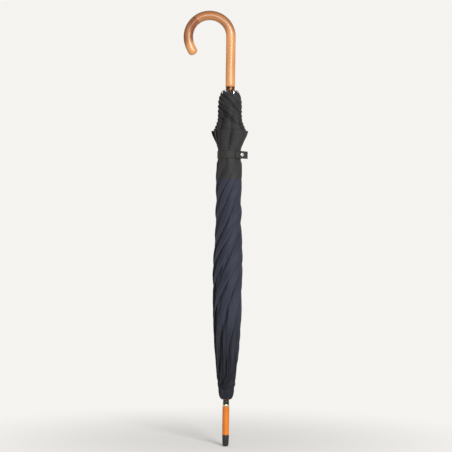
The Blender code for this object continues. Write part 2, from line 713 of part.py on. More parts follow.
def make_strap(band_material, snap_material):
    half = STRAP_WIDTH / 2
    outer = STRAP_INNER_RADIUS + STRAP_THICKNESS
    top = STRAP_BOTTOM + STRAP_WIDTH
    profile = [(STRAP_INNER_RADIUS, top), (outer, top), (outer, STRAP_BOTTOM)]
    profile += [(STRAP_INNER_RADIUS, STRAP_BOTTOM)]
    band = turned("tie_strap", profile, band_material, steps=48, closed=True)
    ear_low = (STRAP_INNER_RADIUS + 0.1 * MM, 0, STRAP_BOTTOM)
    ear = box_mesh("strap_ear", ear_low, (outer - 0.1 * MM, STRAP_UNDER_LENGTH, top))
    ear_box = part("strap_ear", ear)
    ear_box.rotation_euler = (0, 0, FIRST_RIB_AZIMUTH)
    boolean(band, ear_box, "UNION")
    socket_hole = cut_disc("socket_hole", 2.2 * MM, 6 * MM)
    socket_hole.location = around(FIRST_RIB_AZIMUTH, outer, STRAP_BOTTOM + half)
    socket_hole.rotation_euler = (0, 0, FIRST_RIB_AZIMUTH)
    boolean(band, socket_hole)

    frame = strap_frame()
    low = (0, 2 * GAP, -half)
    end_mesh = box_mesh("strap_end", low, (STRAP_THICKNESS, STRAP_END_LENGTH, half))
    end = part("strap_end", end_mesh, band_material, frame)
    stud_hole = cut_disc("stud_hole", 1.5 * MM, 6 * MM)
    stud_hole.parent = frame
    boolean(end, stud_hole)
    make_snap(snap_material, frame)


def cut_disc(name, radius, half_length):
    """A rod along X through the snap's place on the strap."""
    start = (-half_length, SNAP_DISTANCE, 0)
    return part(name, rod_mesh(name, start, (half_length, SNAP_DISTANCE, 0), radius, 16))


def make_snap(material, frame):
    face = STRAP_THICKNESS + GAP
    turn = Matrix.Translation((0, SNAP_DISTANCE, 0)) @ Matrix.Rotation(math.pi / 2, 4, "Y")
    stud = 1.1 * MM
    profile = [(0, face + 1.5 * MM), (2.2 * MM, face + 1.35 * MM)]
    profile += [(SNAP_RADIUS - 0.4 * MM, face + 0.9 * MM), (SNAP_RADIUS, face)]
    profile += [(stud, face), (stud, -stud), (0, -stud)]
    cap = baked_mesh(turned("snap_cap_turned", profile, steps=24), "snap_cap")
    cap.transform(turn)
    part("snap_cap", cap, material, frame)
    outer = STRAP_INNER_RADIUS + STRAP_THICKNESS
    top = STRAP_LAYER_GAP - GAP
    profile = [(1.5 * MM, top), (3.0 * MM, top), (3.0 * MM, GAP), (1.9 * MM, GAP)]
    profile += [(1.9 * MM, -0.8 * MM), (1.5 * MM, -0.8 * MM)]
    socket = baked_mesh(turned("snap_socket_turned", profile, steps=20, closed=True), "snap_socket")
    socket.transform(turn)
    place = around(FIRST_RIB_AZIMUTH, outer, STRAP_BOTTOM + STRAP_WIDTH / 2)
    obj = part("snap_socket", socket, material, None, place)
    obj.rotation_euler = (0, 0, FIRST_RIB_AZIMUTH)


# ---- the whole umbrella --------------------------------------------------------------------------


def make_umbrella():
    handle_wood = new_material("handle_wood", (0.72, 0.42, 0.20), 0.35)
    shaft_wood = new_material("shaft_wood", (0.62, 0.28, 0.07), 0.4)
    gilt = new_material("collar_metal", (0.62, 0.48, 0.32), 0.25, 1.0)
    cap_metal = new_material("cap_metal", (0.55, 0.52, 0.45), 0.25, 1.0)
    tip_plastic = new_material("tip_plastic", (0.02, 0.02, 0.02), 0.35)
    crown_plastic = new_material("crown_plastic", (0.025, 0.025, 0.027), 0.45)
    runner_metal = new_material("runner_metal", (0.55, 0.55, 0.56), 0.3, 1.0)
    frame_steel = new_material("frame_steel", (0.06, 0.06, 0.065), 0.35, 0.6)
    bright_steel = new_material("bright_steel", (0.62, 0.62, 0.63), 0.28, 1.0)
    canopy_fabric = new_material("canopy_fabric", (0.035, 0.037, 0.055), 0.8)
    strap_fabric = new_material("strap_fabric", (0.04, 0.04, 0.042), 0.8)

    make_tip(tip_plastic)
    make_ferrule(shaft_wood)
    make_cap(cap_metal)
    make_shaft(shaft_wood)
    make_collar(gilt)
    make_crook(handle_wood)
    make_notch(crown_plastic)
    wire_ring("notch_wire", NOTCH_HEIGHT, bright_steel)
    make_runner(crown_plastic, runner_metal, bright_steel)
    make_springs(bright_steel)
    make_folding_frame(frame_steel, bright_steel, bright_steel, canopy_fabric)
    make_canopy_top(canopy_fabric)
    make_strap(strap_fabric, bright_steel)


clear_scene()
umbrella = new_collection("stick_umbrella")
cutters = new_collection("cutters")
make_umbrella()
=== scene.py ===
"""The looks of a furled stick umbrella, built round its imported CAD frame.

Each gore of the canopy is one sheet of cloth between two ribs, folded down its middle and rolled
round the stick. A Geometry Nodes modifier on each sheet follows both of its ribs, so that the canopy
is stretched between them when the frame is open. Lengths are in metres.
"""

import json
import math

import bmesh
import bpy
import numpy as np
from mathutils import Matrix, Vector, noise

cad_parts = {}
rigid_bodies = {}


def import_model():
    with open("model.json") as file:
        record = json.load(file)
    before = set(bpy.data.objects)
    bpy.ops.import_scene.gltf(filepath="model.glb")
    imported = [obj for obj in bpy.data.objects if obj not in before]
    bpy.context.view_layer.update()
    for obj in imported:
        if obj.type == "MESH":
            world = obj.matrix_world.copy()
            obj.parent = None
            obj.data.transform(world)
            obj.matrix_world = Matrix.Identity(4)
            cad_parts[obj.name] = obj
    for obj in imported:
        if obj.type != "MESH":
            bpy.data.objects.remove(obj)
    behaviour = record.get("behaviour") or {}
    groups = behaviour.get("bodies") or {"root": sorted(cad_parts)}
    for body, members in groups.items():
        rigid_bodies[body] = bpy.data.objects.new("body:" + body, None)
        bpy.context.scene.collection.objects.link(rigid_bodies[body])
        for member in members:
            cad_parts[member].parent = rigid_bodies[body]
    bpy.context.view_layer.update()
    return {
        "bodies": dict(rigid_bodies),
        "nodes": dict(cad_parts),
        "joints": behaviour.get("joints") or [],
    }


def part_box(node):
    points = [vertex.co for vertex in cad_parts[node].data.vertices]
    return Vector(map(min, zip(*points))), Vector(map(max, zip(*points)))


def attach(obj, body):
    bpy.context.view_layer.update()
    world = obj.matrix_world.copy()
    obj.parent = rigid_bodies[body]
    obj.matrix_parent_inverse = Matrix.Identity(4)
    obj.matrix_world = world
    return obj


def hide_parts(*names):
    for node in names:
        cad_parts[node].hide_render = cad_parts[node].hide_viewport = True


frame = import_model()
MM = 0.001

# The camera: straight on to the crook's plane, and rolled a little
IMAGE_CENTRE = Vector((-4.9 * MM, 0, 450 * MM))
CAMERA_DISTANCE = 3.0
CAMERA_LENS = 116.8
CAMERA_ROLL = math.radians(0.775)
PALE = (0.915, 0.900, 0.875)

# The folding frame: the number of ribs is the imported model's, and the sizes match its CAD
RIB_COUNT = sum(j["name"].startswith("rib_hinge") for j in frame["joints"])
RIB_STEP = math.tau / RIB_COUNT
FIRST_RIB_AZIMUTH = math.radians(-60)
OPEN_ANGLE = math.radians(75)
PIVOT_RADIUS = 10.5 * MM
NOTCH_HEIGHT = 112 * MM
RIB_SPLAY = math.radians(0.183)
RIVET_DISTANCE = 270 * MM
RUNNER_TRAVEL = 404.8 * MM

# The open canopy: how far it lies outside the ribs' pivots, how much its ribs bow for each square
# metre beyond the rivet, and how far it rises over the stretchers' forks and the rib tips
RIB_FACE = 3.2 * MM
RIB_BOW = 0.38
FORK_RISE = 0.8 * MM
TIP_RISE = 0.5 * MM

# The cloth: distances from the notch along a gore, how its width grows, and the furled core
CLOTH_START = 4.5 * MM
HEM_AT_RIB = 615.5 * MM
HEM_AT_MIDDLE = 545 * MM
BORDER_WIDTH = 103 * MM
GORE_SLOPE = 0.969
GORE_SPAN_SHARE = 0.924
CORE_RADIUS = 13.9 * MM

# The furled bundle's (height, radius) outline in millimetres
BUNDLE = [
    (95.4, 10.4), (104, 14.8), (116.5, 16.6), (149, 20.2), (198, 24.4), (247, 28.3), (299, 29.3),
    (340, 29.9), (380, 29.3), (421, 27.8), (454, 25.2), (472, 26.0), (503, 24.6), (544, 26.7),
    (566, 25.2), (586, 24.6), (603, 24.0), (624, 27.8), (636, 31.2), (646, 32.2), (668, 28.0),
    (732, 29.0),
]

# How far the folds have turned at the notch, and (height in mm, radians per metre) above it
TWIST_AT_START = 0.22
TWIST_RATE = [
    (95, 6), (117, 6), (121, 52), (134, 52), (138, 6), (190, 6), (240, 9), (300, 12), (360, 16),
    (420, 19), (540, 19), (575, 12), (603, 7.5),
]

# How far each gore's fold sways to one side, in degrees
FOLD_SHIFTS = [6, -7, 4, 9, -5, 3, -8, 2]

# Heights between which the cloth rolls up, comes loose above the strap, and is pulled aslant
ROLLED = (125 * MM, 260 * MM)
LOOSE = (604 * MM, 640 * MM)
PULLED = (645 * MM, 675 * MM)

# How much painted shade darkens the cloth where it is bunched round the notch, from 0 to 1
BUNCHED_SHADE = 0.55

# The tie strap, the crown's cloth and the crook's nose
STRAP_HEIGHT = 595.5 * MM
STRAP_WIDTH = 15 * MM
STRAP_RADIUS = 24.4 * MM
STRAP_UNDER_LENGTH = 20 * MM
STRAP_THICKNESS = 1.0 * MM
TAB_LENGTH = 27 * MM
STUD_DISTANCE = 14.5 * MM
NOSE_DROP = 30 * MM
NOSE_TUCK = 9.5 * MM
NOSE_ROUNDING = 7.5 * MM


# ---- small helpers ----


def rgb(red, green, blue):
    """A linear colour from its 0-255 values."""
    values = []
    for channel in (red, green, blue):
        c = channel / 255
        values.append(c / 12.92 if c <= 0.04045 else ((c + 0.055) / 1.055) ** 2.4)
    return (*values, 1)


def curve_through(points, at):
    """Smooth values through (millimetre, value) points, at heights in metres."""
    x = np.array([p[0] for p in points]) * MM
    y = np.array([p[1] for p in points], float)
    slope = np.gradient(y, x)
    at = np.clip(at, x[0], x[-1])
    n = np.clip(np.searchsorted(x, at) - 1, 0, len(x) - 2)
    h = x[n + 1] - x[n]
    t = (at - x[n]) / h
    return (
        (1 + 2 * t) * (1 - t) ** 2 * y[n]
        + t * (1 - t) ** 2 * h * slope[n]
        + t * t * (3 - 2 * t) * y[n + 1]
        + t * t * (t - 1) * h * slope[n + 1]
    )


def smooth_step(low, high, value):
    t = np.clip((value - low) / (high - low), 0, 1)
    return t * t * (3 - 2 * t)


def polar(azimuth, radius, height):
    return np.stack([radius * np.cos(azimuth), radius * np.sin(azimuth), height + 0 * radius], -1)


def wavy(azimuth, height, around, along, seed):
    """Smooth noise on the bundle, periodic round it; around and along set its frequency."""
    flat_a = np.ravel(azimuth)
    flat_h = np.ravel(height)
    values = [
        noise.noise(Vector((around * math.cos(a) + seed, around * math.sin(a), along * h)))
        for a, h in zip(flat_a, flat_h)
    ]
    return np.array(values).reshape(np.shape(azimuth))


def placed(name, data):
    """A new object in the scene that shows the given data."""
    obj = bpy.data.objects.new(name, data)
    bpy.context.scene.collection.objects.link(obj)
    return obj


def add_mesh(name, verts, faces, material, body):
    mesh = bpy.data.meshes.new(name)
    mesh.from_pydata([tuple(v) for v in verts], [], faces)
    mesh.shade_smooth()
    for each in material if isinstance(material, (list, tuple)) else [material]:
        mesh.materials.append(each)
    obj = placed(name, mesh)
    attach(obj, body)
    return obj


def grid_faces(rows, columns, wrap=False):
    """Quads of a grid whose vertices run along its columns first."""
    faces = []
    last = columns if wrap else columns - 1
    for r in range(rows - 1):
        for c in range(last):
            d = (c + 1) % columns
            here, above = r * columns, (r + 1) * columns
            faces.append((here + c, here + d, above + d, above + c))
    return faces


def tube_faces(rows, columns):
    """Quads round a tube of rings, with a face over each end."""
    last = (rows - 1) * columns
    ends = [tuple(range(columns))[::-1], tuple(last + c for c in range(columns))]
    return grid_faces(rows, columns, wrap=True) + ends


def first_rib_axes():
    """The ways outwards and round from the first rib, where the strap is sewn on."""
    across, along = math.cos(FIRST_RIB_AZIMUTH), math.sin(FIRST_RIB_AZIMUTH)
    return Vector((across, along, 0)), Vector((-along, across, 0))


def math_node(nodes, links, operation, a, b):
    """A Math node's result; a and b are outputs or plain numbers."""
    node = nodes.new("ShaderNodeMath")
    node.operation = operation
    for value, target in zip((a, b), node.inputs):
        if isinstance(value, (int, float)):
            target.default_value = value
        else:
            links.new(value, target)
    return node.outputs[0]


def point_attribute(obj, name, values, kind="FLOAT"):
    attribute = obj.data.attributes.new(name, kind, "POINT")
    key = "value" if kind == "FLOAT" else "vector"
    attribute.data.foreach_set(key, np.ravel(values).astype(np.float32))


def uv_from(obj, coordinates):
    """A UV map from one (u, v) pair for each vertex."""
    layer = obj.data.uv_layers.new(name="cloth")
    corner = np.zeros(len(obj.data.loops), int)
    obj.data.loops.foreach_get("vertex_index", corner)
    layer.data.foreach_set("uv", np.asarray(coordinates, np.float32)[corner].ravel())


# ---- materials ----


class Nodes:
    """A material's node tree, with short names for the nodes used here."""

    def __init__(self, name, colour, roughness, metallic=0.0):
        self.material = bpy.data.materials.new(name)
        self.material.use_nodes = True
        self.tree = self.material.node_tree
        self.shader = self.tree.nodes["Principled BSDF"]
        self.shader.inputs["Base Color"].default_value = colour
        self.shader.inputs["Roughness"].default_value = roughness
        self.shader.inputs["Metallic"].default_value = metallic

    def set(self, **values):
        for name, value in values.items():
            label = name.replace("_", " ").title().replace("Ior", "IOR")
            self.shader.inputs[label].default_value = value

    def new(self, kind, **inputs):
        node = self.tree.nodes.new(kind)
        for name, value in inputs.items():
            node.inputs[name].default_value = value
        return node

    def link(self, output, target):
        self.tree.links.new(output, target)

    def coordinates(self, kind="Object", scale=(1, 1, 1)):
        source = self.new("ShaderNodeTexCoord").outputs[kind]
        mapping = self.new("ShaderNodeMapping")
        mapping.inputs["Scale"].default_value = scale
        self.link(source, mapping.inputs["Vector"])
        return mapping.outputs["Vector"]

    def noise(self, vector, scale, detail=3.0, roughness=0.5):
        node = self.new("ShaderNodeTexNoise", Scale=scale, Detail=detail, Roughness=roughness)
        self.link(vector, node.inputs["Vector"])
        return node.outputs["Fac"]

    def wave(self, vector, direction, scale):
        node = self.new("ShaderNodeTexWave", Scale=scale)
        node.bands_direction = direction
        self.link(vector, node.inputs["Vector"])
        return node.outputs["Fac"]

    def attribute(self, name):
        node = self.new("ShaderNodeAttribute")
        node.attribute_name = name
        return node.outputs["Fac"]

    def math(self, operation, a, b=0.0):
        return math_node(self.tree.nodes, self.tree.links, operation, a, b)

    def spread(self, value, low, high, out_low=0.0, out_high=1.0):
        node = self.new("ShaderNodeMapRange")
        node.interpolation_type = "SMOOTHSTEP"
        limits = {"From Min": low, "From Max": high, "To Min": out_low, "To Max": out_high}
        for name, number in limits.items():
            node.inputs[name].default_value = number
        self.link(value, node.inputs["Value"])
        return node.outputs["Result"]

    def ramp(self, value, stops):
        node = self.new("ShaderNodeValToRGB")
        elements = node.color_ramp.elements
        while len(elements) < len(stops):
            elements.new(0.5)
        for element, (place, colour) in zip(elements, stops):
            element.position = place
            element.color = colour
        self.link(value, node.inputs["Fac"])
        return node.outputs["Color"]

    def mix(self, share, a, b, blend="MIX"):
        node = self.new("ShaderNodeMix")
        node.data_type = "RGBA"
        node.blend_type = blend
        for value, target in ((share, node.inputs[0]), (a, node.inputs[6]), (b, node.inputs[7])):
            if isinstance(value, (int, float, tuple)):
                target.default_value = value
            else:
                self.link(value, target)
        return node.outputs[2]

    def colour(self, output):
        self.link(output, self.shader.inputs["Base Color"])

    def roughness(self, output):
        self.link(output, self.shader.inputs["Roughness"])

    def bump(self, height, strength, distance):
        node = self.new("ShaderNodeBump", Strength=strength, Distance=distance)
        self.link(height, node.inputs["Height"])
        normal = self.shader.inputs["Normal"]
        if normal.is_linked:
            self.link(normal.links[0].from_socket, node.inputs["Normal"])
        self.link(node.outputs["Normal"], normal)


def lacquered_wood(name, dark, light, coordinate, stretch, burn=None, shade_band=None):
    """Wood under varnish: long grain streaks and a soft variation of colour, darker where the mesh
    marks real scorching and painted shade, and a (low, high, colour) band of painted shade that
    comes on between two heights."""
    m = Nodes(name, light, 0.35)
    m.set(coat_weight=0.35, coat_roughness=0.18, specular_ior_level=0.25)
    grain = m.coordinates(coordinate, stretch)
    streaks = m.noise(grain, 1.0, 6.0, 0.62)
    clouds = m.noise(m.coordinates("Object"), 18.0, 2.0)
    shade = m.math("ADD", m.math("MULTIPLY", streaks, 0.7), m.math("MULTIPLY", clouds, 0.3))
    colour = m.ramp(shade, [(0.30, dark), (0.66, light)])
    # Painted shade: the colour darkens between the two given heights.
    if shade_band:
        low, high, shade_colour = shade_band
        place = m.new("ShaderNodeSeparateXYZ")
        m.link(m.coordinates("Object"), place.inputs[0])
        colour = m.mix(m.spread(place.outputs["Z"], low, high, 0.0, 0.9), colour, shade_colour)
    # Darker where the mesh marks it: real scorching on the crook's bend, and painted shade on its
    # outer edge.
    if burn:
        share = m.spread(m.attribute("burn"), 0.0, 1.0, 0.0, 0.85)
        colour = m.mix(share, colour, burn)
    m.colour(colour)
    m.roughness(m.spread(streaks, 0.3, 0.7, 0.42, 0.26))
    m.bump(streaks, 0.2, 0.12 * MM)
    m.bump(m.noise(m.coordinates("Object"), 40.0, 1.0), 0.05, 1.2 * MM)
    return m.material


def metal(name, colour, roughness, brushed, worn):
    """Turned or drawn metal: fine brushing, small dents in the gloss and a duller worn colour."""
    m = Nodes(name, colour, roughness, 1.0)
    lines = m.noise(m.coordinates("Object", brushed), 1.0, 4.0, 0.6)
    cloud = m.noise(m.coordinates("Object"), 160.0, 3.0)
    m.colour(m.mix(m.spread(cloud, 0.4, 0.75), colour, worn))
    m.roughness(m.spread(lines, 0.3, 0.7, roughness * 0.7, roughness * 1.5))
    m.bump(lines, 0.15, 0.05 * MM)
    return m.material


def moulded_plastic(name, colour, roughness):
    """Black plastic with a fine moulded texture and slightly paler, duller patches."""
    m = Nodes(name, colour, roughness)
    m.set(specular_ior_level=0.5)
    texture = m.noise(m.coordinates("Object"), 900.0, 2.0)
    cloud = m.noise(m.coordinates("Object"), 70.0, 3.0)
    paler = (*(2.2 * channel for channel in colour[:3]), 1)
    m.colour(m.mix(m.spread(cloud, 0.35, 0.8, 0.0, 0.6), colour, paler))
    m.roughness(m.spread(cloud, 0.3, 0.7, roughness * 0.8, roughness * 1.3))
    m.bump(texture, 0.2, 0.05 * MM)
    return m.material


def woven_cloth(name, colour, light, thread=0.28 * MM, sheen=0.06):
    """Plain weave cloth with a faint lustre, soft creases, painted shade in its folds where that is
    marked, and a stitched hem where one is marked.
    """
    m = Nodes(name, colour, 0.62)
    m.set(specular_ior_level=0.16, sheen_weight=sheen, sheen_roughness=0.45)
    turns = math.tau / thread / 20
    cloth = m.coordinates("UV")
    warp = m.wave(cloth, "X", turns)
    weft = m.wave(cloth, "Y", turns)
    weave = m.math("MAXIMUM", warp, weft)
    cloud = m.noise(m.coordinates("UV"), 9.0, 4.0)
    slub = m.noise(m.coordinates("UV", (60, 1400, 1)), 1.0, 2.0)
    shade = m.math("ADD", m.math("MULTIPLY", cloud, 0.75), m.math("MULTIPLY", slub, 0.25))
    plain = m.mix(m.spread(shade, 0.3, 0.72), colour, light)
    # Painted shade: the cloth darkens to near black where the mesh marks shade in its folds, pleats,
    # pulled folds and bunched places.
    m.colour(m.mix(m.math("MULTIPLY", m.attribute("crease"), 0.92), plain, rgb(8, 8, 10)))
    m.roughness(m.spread(cloud, 0.3, 0.7, 0.55, 0.7))
    m.bump(weave, 0.35, 0.06 * MM)
    m.bump(m.noise(m.coordinates("UV"), 55.0, 2.0), 0.25, 1.0 * MM)
    m.bump(m.spread(m.attribute("stitch"), 0.0, 1.0), 0.8, 0.5 * MM)
    return m.material


NAVY = woven_cloth("navy_cloth", rgb(36, 38, 50), rgb(46, 49, 62))
CHARCOAL = woven_cloth("charcoal_cloth", rgb(38, 38, 38), rgb(49, 48, 48))
STRAP_CLOTH = woven_cloth("strap_cloth", rgb(38, 38, 37), rgb(48, 47, 46), 0.45 * MM)
# Its darkest colour marks the scorched bend and the painted shade on the bend's outer edge.
HANDLE_WOOD = lacquered_wood(
    "handle_wood", rgb(158, 98, 50), rgb(208, 150, 94), "UV", (1.6, 5, 1), rgb(98, 42, 22)
)
# The shaft wood gets painted shade from 690 mm up, where it runs up through the canopy's hem to the
# collar.
SHAFT_WOOD = lacquered_wood(
    "shaft_wood", rgb(170, 82, 12), rgb(212, 122, 28), "Object", (420, 420, 14),
    shade_band=(690 * MM, 710 * MM, rgb(40, 24, 16)),
)
BRONZE = metal("collar_bronze", rgb(122, 84, 54), 0.26, (60, 60, 3000), rgb(84, 56, 38))
CHROME = metal("cap_chrome", rgb(66, 74, 70), 0.14, (60, 60, 3000), rgb(34, 40, 36))
GILT = metal("ring_gilt", rgb(226, 205, 160), 0.25, (60, 60, 3000), rgb(190, 160, 110))
BRIGHT_STEEL = metal("bright_steel", rgb(205, 206, 208), 0.22, (900, 900, 60), rgb(160, 160, 160))
FRAME_STEEL = metal("frame_steel", rgb(60, 60, 64), 0.42, (2000, 2000, 60), rgb(40, 40, 42))
BLACK_PLASTIC = moulded_plastic("black_plastic", rgb(22, 22, 23), 0.34)
CROWN_PLASTIC = moulded_plastic("crown_plastic", rgb(30, 30, 32), 0.42)
SNAP_METAL = metal("snap_nickel", rgb(196, 197, 198), 0.34, (600, 600, 600), rgb(196, 196, 198))


# ---- the crook handle ----


def scorch_and_edge_shade(turn, angle):
    """How dark the crook is: real scorching from bending over the bend, with a band and a ring, and
    painted shade along the bend's outer edge; turn is how far round the bend, in radians, and angle
    is 0 on the bend's inside and a quarter turn on its front."""
    middle = 1.35 - 1.15 * float(smooth_step(2.45, 3.0, turn))
    band = math.exp(-(((angle - middle) / 0.62) ** 2))
    band *= float(smooth_step(2.25, 2.5, turn) * (1 - smooth_step(3.1, 3.55, turn)))
    ring = 0.6 * math.exp(-(((turn - 2.28) / 0.045) ** 2)) * max(0.0, math.cos(angle - 1.4))
    bent = 0.56 * float(smooth_step(-0.1, 0.7, turn) * (1 - smooth_step(3.3, 3.7, turn)))
    # Painted shade: the outer edge of the bend is darkened.
    outside = 0.55 * max(0.0, -math.cos(angle)) ** 3 * float(smooth_step(-0.3, 0.2, turn))
    return min(1.0, bent + outside + 0.85 * band + ring)


def make_crook():
    """A steamed and bent stick: shank, half a turn and a nose with a rounded end."""
    low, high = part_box("crook_handle")
    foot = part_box("handle_collar")[1].z + 0.3 * MM
    radius = high.x
    bend = (-low.x - radius) / 2
    top = high.z - radius - bend
    route = [Vector((0, 0, foot + (top - foot) * n / 30)) for n in range(30)]
    for n in range(71):
        angle = math.pi * n / 70
        route.append(Vector((bend * (math.cos(angle) - 1), 0, top + bend * math.sin(angle))))
    for n in range(1, 16):
        share = n / 15
        route.append(Vector((NOSE_TUCK * share * share - 2 * bend, 0, top - NOSE_DROP * share)))
    widths = [1.0] * len(route)
    onward = (route[-1] - route[-2]).normalized()
    end = route[-1]
    for n in range(1, 13):
        turn = math.pi / 2 * n / 12.4
        route.append(end + onward * NOSE_ROUNDING * math.sin(turn))
        widths.append(math.cos(turn) ** 0.9)
    lengths = [0.0]
    for a, b in zip(route, route[1:]):
        lengths.append(lengths[-1] + (b - a).length)
    knot_at = (top - foot) + bend * math.radians(121)
    ring_count = 48
    verts, marks, uv = [], [], []
    for n, (centre, width, along) in enumerate(zip(route, widths, lengths)):
        ahead = route[min(n + 1, len(route) - 1)] - route[max(n - 1, 0)]
        ahead.normalize()
        side = Vector((0, -1, 0))
        out = side.cross(ahead).normalized()
        for c in range(ring_count):
            angle = math.tau * c / ring_count
            direction = out * math.cos(angle) + side * math.sin(angle)
            lump = 0.16 * MM * noise.noise(Vector((along * 22, math.cos(angle), math.sin(angle))))
            near = math.exp(-(((along - knot_at) / (5 * MM)) ** 2))
            knot = 0.5 * MM * near * max(0.0, math.cos(angle - 1.4)) ** 2
            verts.append(centre + direction * (radius * width - 0.1 * MM + lump + knot))
            marks.append(scorch_and_edge_shade((along - (top - foot)) / bend, angle))
            uv.append((along * 12, angle / math.tau * 6))
    faces = tube_faces(len(route), ring_count)
    crook = add_mesh("crook", verts, faces, HANDLE_WOOD, "stick")
    point_attribute(crook, "burn", marks)
    uv_from(crook, uv)
    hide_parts("crook_handle")


# ---- the turned fittings ----


def lathe(name, profile, material, body, slot, replaced, segments=64, at=None, bevel=0.25 * MM):
    """A turned piece from its (radius, height) profile, closed, with its corners eased."""
    rings = [p for p in profile if p[0] > 0]
    verts, faces = [], []
    for radius, height in rings:
        for c in range(segments):
            angle = math.tau * c / segments
            verts.append((radius * math.cos(angle), radius * math.sin(angle), height))
    count = len(rings)
    faces += grid_faces(count, segments, wrap=True)
    if profile[0][0] == 0:
        faces.append(tuple(range(segments)))
        faces.append(tuple((count - 1) * segments + c for c in range(segments))[::-1])
    else:
        for c in range(segments):
            d = (c + 1) % segments
            base = (count - 1) * segments
            faces.append((base + c, base + d, d, c))
    if at is not None:
        verts = [at @ Vector(v) for v in verts]
    obj = add_mesh(name, verts, faces, material, body)
    obj.data.flip_normals()
    obj.data.set_sharp_from_angle(angle=math.radians(35))
    easing = obj.modifiers.new("easing", "BEVEL")
    easing.width = bevel
    easing.segments = 3
    easing.limit_method = "ANGLE"
    easing.angle_limit = math.radians(28)
    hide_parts(*replaced)
    return obj


def corners(height, *places):
    """Profile corners from (radius, height above the given one) pairs in millimetres."""
    return [(radius * MM, height + rise * MM) for radius, rise in places]


def make_collar():
    """A turned bronze collar: a rolled rim at the wood, a groove, a bright band and a foot."""
    low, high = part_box("handle_collar")
    outer = high.x
    bore = 7.3 * MM
    profile = [(bore, high.z), (outer - 0.2 * MM, high.z), (outer, high.z - 0.8 * MM)]
    profile += [(outer, high.z - 1.6 * MM), (outer - 0.9 * MM, high.z - 2.0 * MM)]
    profile += [(outer - 0.9 * MM, high.z - 2.8 * MM), (outer - 0.3 * MM, high.z - 3.2 * MM)]
    profile += [(outer - 0.3 * MM, low.z + 1.2 * MM), (outer - 0.9 * MM, low.z + 0.2 * MM)]
    profile += [(outer - 1.5 * MM, low.z), (bore, low.z)]
    lathe("collar", profile, BRONZE, "stick", "collar_metal", ["handle_collar"])


def make_ferrule():
    """The end below the canopy: a chromed cap with a gilt ring, the wooden spike and its black tip."""
    low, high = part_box("ferrule_cap")
    ring = low.z + 4.2 * MM
    profile = corners(high.z, (3.9, 0), (5.0, 0), (6.2, -1.6))
    profile += corners(ring, (6.4, 1.2), (6.3, 0.1), (3.9, 0.1))
    lathe("ferrule_cap_cup", profile, CHROME, "stick", "cap_metal", ["ferrule_cap"])
    profile = corners(ring, (3.9, 0), (6.5, 0), (6.9, -1.2))
    profile += corners(low.z, (6.9, 1.2), (6.5, 0), (3.9, 0))
    lathe("ferrule_cap_ring", profile, GILT, "stick", "cap_metal", ["ferrule_cap"])
    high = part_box("ferrule_wood")[1]
    tip_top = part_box("ferrule_tip")[1].z
    profile = corners(high.z, (0, 0), (6.5, 0), (7.1, -0.9))
    for n in range(9):
        share = n / 8
        swell = 0.12 * MM * math.sin(math.pi * share)
        height = high.z - 1.6 * MM - (high.z - 2.2 * MM - tip_top) * share
        profile.append((7.15 * MM + swell - 0.15 * MM * share, height))
    profile += corners(tip_top, (4.4, 0.3), (4.4, -2), (0, -2))
    lathe("ferrule_spike", profile, SHAFT_WOOD, "stick", "shaft_wood", ["ferrule_wood"])
    profile = corners(tip_top, (0, -2.2), (4.7, -2.2), (4.7, 0), (6.8, 0), (7.05, -0.7))
    profile += corners(tip_top, (7.0, -4.5), (6.75, -4.9), (6.7, -5.6), (6.9, -6))
    profile += corners(0, (6.35, 3.2), (5.9, 1.4), (5.0, 0.4), (3.9, 0), (0, 0))
    lathe("ferrule_end", profile, BLACK_PLASTIC, "stick", "tip_plastic", ["ferrule_tip"])


# ---- the canopy ----


def half_width(distance):
    """Half a gore's width at a distance from the notch: half the straight span between open ribs."""
    return (PIVOT_RADIUS + GORE_SLOPE * distance) * math.tan(RIB_STEP / 2) * GORE_SPAN_SHARE


def hem_distance(v):
    """Where a gore's hem is; v is 0 at the gore's middle and 1 at its ribs."""
    return HEM_AT_MIDDLE + (HEM_AT_RIB - HEM_AT_MIDDLE) * v**1.8


def twist(height):
    """How far round the bundle a gore's fold has turned at a height."""
    steps = np.linspace(BUNDLE[0][0] * MM, BUNDLE[-1][0] * MM, 400)
    heights, rates = zip(*TWIST_RATE)
    rate = np.interp(steps, np.array(heights) * MM, rates)
    total = np.concatenate([[0], np.cumsum((rate[1:] + rate[:-1]) / 2 * np.diff(steps))])
    at_start = np.interp(NOTCH_HEIGHT, steps, total)
    return TWIST_AT_START + np.interp(height, steps, total) - at_start


def furled(gore, u, distance):
    """The furled cloth's places in space, for a gore's cloth coordinates."""
    v = np.abs(2 * u - 1)
    side = np.where(u < 0.5, 1.0, -1.0)
    shortening = 13 * MM * (1 - v) * (distance / HEM_AT_MIDDLE) ** 2
    height = NOTCH_HEIGHT + distance - shortening
    outer = curve_through(BUNDLE, height) * MM
    core = np.minimum(CORE_RADIUS + 1.9 * MM * distance / 0.588, outer - 1.5 * MM)
    turn = twist(height)
    radius = np.sqrt(outer**2 - v * (outer**2 - core**2))
    share = (outer - radius) / (outer - core)
    middle = FIRST_RIB_AZIMUTH + (gore + 0.5) * RIB_STEP
    shift = math.radians(FOLD_SHIFTS[gore]) * np.sin(height * 19 + gore * 2.1) * 1.4
    azimuth = middle + turn + shift * (1 - v) ** 2 - share * (turn + side * RIB_STEP / 2)

    inward = v * half_width(distance)
    radius = radius + billow(u, height) + rolled_edge(gore, side, inward, height)
    radius = radius + loose_cloth(gore, v, side, distance, height)
    weight = np.clip((radius - core) / (outer - core), 0, 1)
    radius = radius + wrinkles(azimuth, azimuth - turn, height) * weight
    radius = radius + nested_waves(azimuth, share, height)
    radius = radius - np.maximum(radius - (STRAP_RADIUS - 0.9 * MM), 0) * under_strap(height)
    return polar(azimuth, radius, height)


